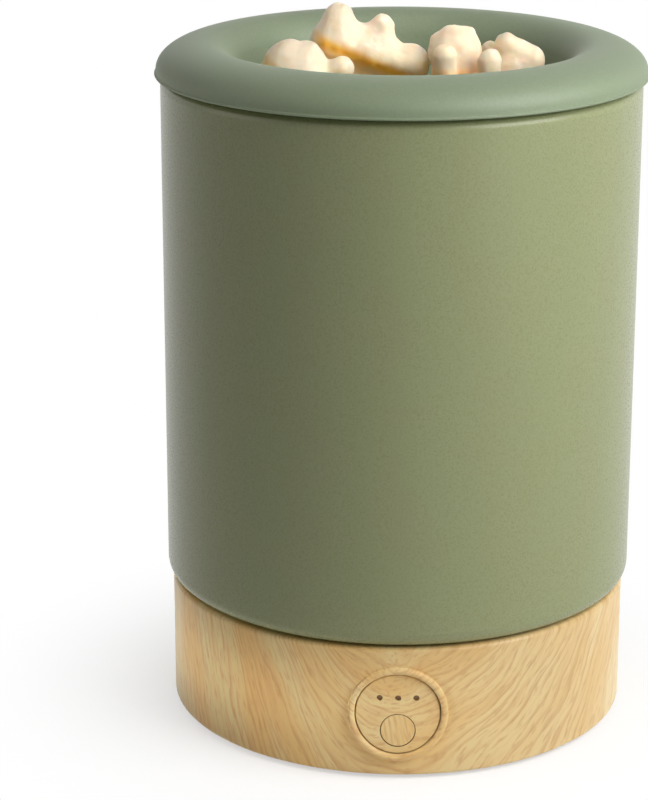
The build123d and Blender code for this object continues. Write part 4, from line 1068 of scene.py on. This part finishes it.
# %% [markdown]
# Where a pin comes through the main board, solder climbs it in a small cone. Between the large parts sit
# rows of tiny resistors with tinned ends. And the rubber feet have rings cut into their soles, so that
# they grip. Modelled one by one they would take as long as the rest of the board, so all of these are
# blanks again, with points to stand on.

# %% Solder
board_low, board_high = box_mm("main_board")
pin_rows = {
    "heater_socket": (2, 1),
    "sensor_socket": (2, 1),
    "ribbon_socket": (8, 1),
    "power_transistor": (3, 1),
    "filter_capacitor": (2, 1),
    "power_coil": (2, 1),
    "dc_jack": (2, 2),
}
pins = []
for name, (across, rows) in pin_rows.items():
    low, high = box_mm(name)
    for i in range(across):
        for j in range(rows):
            x = low.x + (high.x - low.x) * (i + 0.5) / across
            y = low.y + (min(high.y, board_high.y) - low.y) * (j + 0.5) / rows
            pins.append((x, y, board_low.z))
cone = [(0, 1.0), (0.22, 1.0), (0.3, 0.92), (0.32, 0.7), (0.4, 0.45), (0.58, 0.2), (0.8, 0.04)]
cone += [(0.82, 0), (0, 0)]
set_out("solder_joints", lathe(cone, 16), pins, "steel", upside_down)
print("solder joints:", len(pins))


# %% Resistors
def soft_block(half_x, half_y, height, edge):
    """A block with rounded edges that stands on the origin."""
    form = bmesh.new()
    bmesh.ops.create_cube(form, size=1.0)
    bmesh.ops.scale(form, verts=form.verts, vec=(2 * half_x, 2 * half_y, height))
    bmesh.ops.translate(form, verts=form.verts, vec=(0, 0, height / 2))
    bmesh.ops.bevel(form, geom=form.edges[:], offset=edge, segments=2, affect="EDGES")
    bmesh.ops.scale(form, verts=form.verts, vec=(MM, MM, MM))
    mesh = bpy.data.meshes.new("block")
    form.to_mesh(mesh)
    form.free()
    return mesh


chip_low = box_mm("controller_chip")[0]
chip_row_inset, chip_row_pitch, chip_row_y = 1.4, 2.5, 12.4
column_xs, column_start, column_pitch = (-4.6, -0.8, 3.0), 9.0, 3.2
end_offset = 0.72
chip_row_x = chip_low.x + chip_row_inset
resistor_places = [(chip_row_x + chip_row_pitch * i, chip_row_y, board_high.z) for i in range(4)]
resistor_places += [(x, column_start + column_pitch * i, board_high.z) for x in column_xs for i in range(8)]
end_places = [(x + side * end_offset, y, z) for x, y, z in resistor_places for side in (-1, 1)]
set_out("board_resistors", soft_block(0.62, 0.4, 0.45, 0.05), resistor_places, "chip_black")
set_out("board_resistor_ends", soft_block(0.16, 0.42, 0.49, 0.06), end_places, "steel")
print("resistors:", len(resistor_places))

# %% Grooved feet
feet = ["rubber_foot_1", "rubber_foot_2", "rubber_foot_3", "rubber_foot_4"]
foot_boxes = [box_mm(name) for name in feet]
foot_r = (foot_boxes[0][1].x - foot_boxes[0][0].x) / 2
foot_top = foot_boxes[0][1].z
groove_starts = (1.3, 2.9, 4.5)
groove = [(-0.1, 0), (0, 0.08), (0.1, 0.4), (0.6, 0.4), (0.7, 0.08), (0.8, 0)]
edge_round, top_round = 0.4, 0.1
sole = [(0, 0)]
for start in groove_starts:
    sole += beside(start, 0, groove)
sole += arc(foot_r - edge_round, edge_round, edge_round, -90.0, 0.0, 5)
sole += [(foot_r, foot_top - top_round), (foot_r - top_round, foot_top), (0, foot_top)]
foot_places = [(*((low + high) / 2).xy, 0) for low, high in foot_boxes]
set_out("grooved_rubber_feet", lathe(sole, 64), foot_places, "black_rubber", stands_for=feet)
print("feet:", len(foot_places), "with", len(groove_starts), "grooves each")

# %% [markdown]
# The floor is a wide pale sheet and no part of the object. Near the warmer it shows the soft shadow, partly
# the real one and partly a painted contact shadow round the base's edge, and further out it goes over into
# plain white. More light on the floor would whiten it too, but it would also bleach the object. So the white
# is only for what the camera and the reflections see, and the light that falls on the object still comes
# from the real lamps and a weak pale surround.

# %% Floor
def seen_directly(wiring):
    """One for rays of the camera, of reflections and of glass, and nothing for the light that bounces."""
    kinds = ("Is Camera Ray", "Is Glossy Ray", "Is Transmission Ray")
    camera_ray, glossy_ray, glass_ray = [wiring.add("ShaderNodeLightPath", out=kind) for kind in kinds]
    return wiring.math("MAXIMUM", glass_ray, wiring.math("MAXIMUM", camera_ray, glossy_ray))


# How much of the real shadow shows, how white the floor is near the base, and how dark the painted contact
# shadow is at its edge.
floor_shadow, floor_lift, painted_contact_shadow = 0.45, 0.76, 0.3
fade_start, fade_end = 54.0, 110.0
contact_reach, floor_half = 0.12, 2.5
floor_grey = 0.9
full_white = (1.0, 1.0, 1.0, 1.0)


def pale_floor():
    """Takes the object's shadow and a painted contact shadow, then goes over into white."""
    finish = Finish("pale floor", roughness=0.9, specular_ior_level=0.0)
    x, y = finish.axes()[:2]
    feeds = {0: (x * x + y * y) ** 0.5, 1: fade_start, 2: fade_end}
    away = finish.add("ShaderNodeMapRange", None, feeds)
    far = 1 - (1 - away) ** 2
    seen = seen_directly(finish)
    taken = 1 - seen * (1 - (1 - far) * floor_shadow)
    black, grey = (0.0, 0.0, 0.0, 1.0), (floor_grey, floor_grey, floor_grey, 1.0)
    finish.set({"Base Color": finish.mix(taken, black, grey)})
    feeds = {"Distance": contact_reach}
    # Painted contact shadow: the white darkens where the base hides the open sky.
    open_sky = finish.add("ShaderNodeAmbientOcclusion", {"samples": 12}, feeds, out="AO")
    near = (1 - (1 - open_sky) * painted_contact_shadow) * floor_lift
    strength = seen * finish.blend(far, near, 1.0)
    white = finish.add("ShaderNodeEmission", None, {"Color": full_white, "Strength": strength})
    lit = Signal(finish, finish.shader.outputs[0])
    finish.feed(finish.output.inputs["Surface"], finish.add("ShaderNodeAddShader", None, {0: lit, 1: white}))
    return finish.material


floor_signs = ((-1, -1), (1, -1), (1, 1), (-1, 1))
floor_corners = [(x * floor_half / MM, y * floor_half / MM, 0) for x, y in floor_signs]
floor_mesh = mesh_of(floor_corners, [(0, 1, 2, 3)])
floor_mesh.materials.append(pale_floor())
floor = put("floor", floor_mesh)
print("floor is", 2 * floor_half, "m wide and fades from", fade_start, "to", fade_end, "mm")

# %% [markdown]
# The photograph has one large soft lamp high on the right, and its light falls off round the body to the
# left, where a weaker and warmer one fills in. Two lamps alone leave three places too dark, so three faint
# ones help: a low sheet for the right side of the base, a narrow strip that grazes the base from the left,
# and a small one over the bowl for the wax. A sky would light all sides alike and flatten the round form,
# so the surround is nearly dark for the object and white only where the camera looks past it.

# %% Lamps
warm_white = (1.0, 0.93, 0.86)
plain_white = (1.0, 1.0, 1.0)
lamp_plan = {
    # azimuth, elevation, distance, width, height, watts, colour, spread, height that it aims at
    "main sheet": (58, 38, 0.5, 0.35, 0.35, 2.35, plain_white, 180, 0.08),
    "low right sheet": (52, 14, 0.5, 0.3, 0.4, 0.24, plain_white, 180, 0.08),
    "left sheet": (-84, 24, 0.9, 0.5, 0.7, 1.08, warm_white, 180, 0.08),
    "strip for the base": (-52, 1, 0.3, 0.2, 0.015, 0.004, warm_white, 8, 0.016),
    "small lamp over the bowl": (15, 66, 0.35, 0.05, 0.05, 0.004, warm_white, 12, 0.16),
}


def soft_lamp(name, azimuth, elevation, distance, width, height, watts, colour, spread, aim):
    """A soft sheet of light, aimed at a height on the middle axis. Azimuth 0 is the front, 90 the right."""
    data = bpy.data.lights.new(name, "AREA")
    data.shape = "RECTANGLE"
    data.size, data.size_y, data.energy = width, height, watts
    data.color = colour
    data.spread = math.radians(spread)
    lamp = put(name, data)
    a, e = math.radians(azimuth), math.radians(elevation)
    away = Vector((math.cos(e) * math.sin(a), -math.cos(e) * math.cos(a), math.sin(e)))
    lamp.location = Vector((0, 0, aim)) + away * distance
    lamp.rotation_euler = away.to_track_quat("Z", "Y").to_euler()


for name, plan in lamp_plan.items():
    soft_lamp(name, *plan)
print("lamps:", len(lamp_plan))

# %% Surround
ambient = 0.01
world = bpy.data.worlds.new("surround")
world.use_nodes = True
bpy.context.scene.world = world
surround = Wiring(world.node_tree)
surround.tree.nodes.clear()
world_output = surround.tree.nodes.new("ShaderNodeOutputWorld")
strength = seen_directly(surround) * (1 - ambient) + ambient
light = surround.add("ShaderNodeBackground", None, {"Color": full_white, "Strength": strength})
surround.feed(world_output.inputs["Surface"], light)
bpy.context.scene.view_settings.view_transform = "Standard"
print("surround:", ambient)
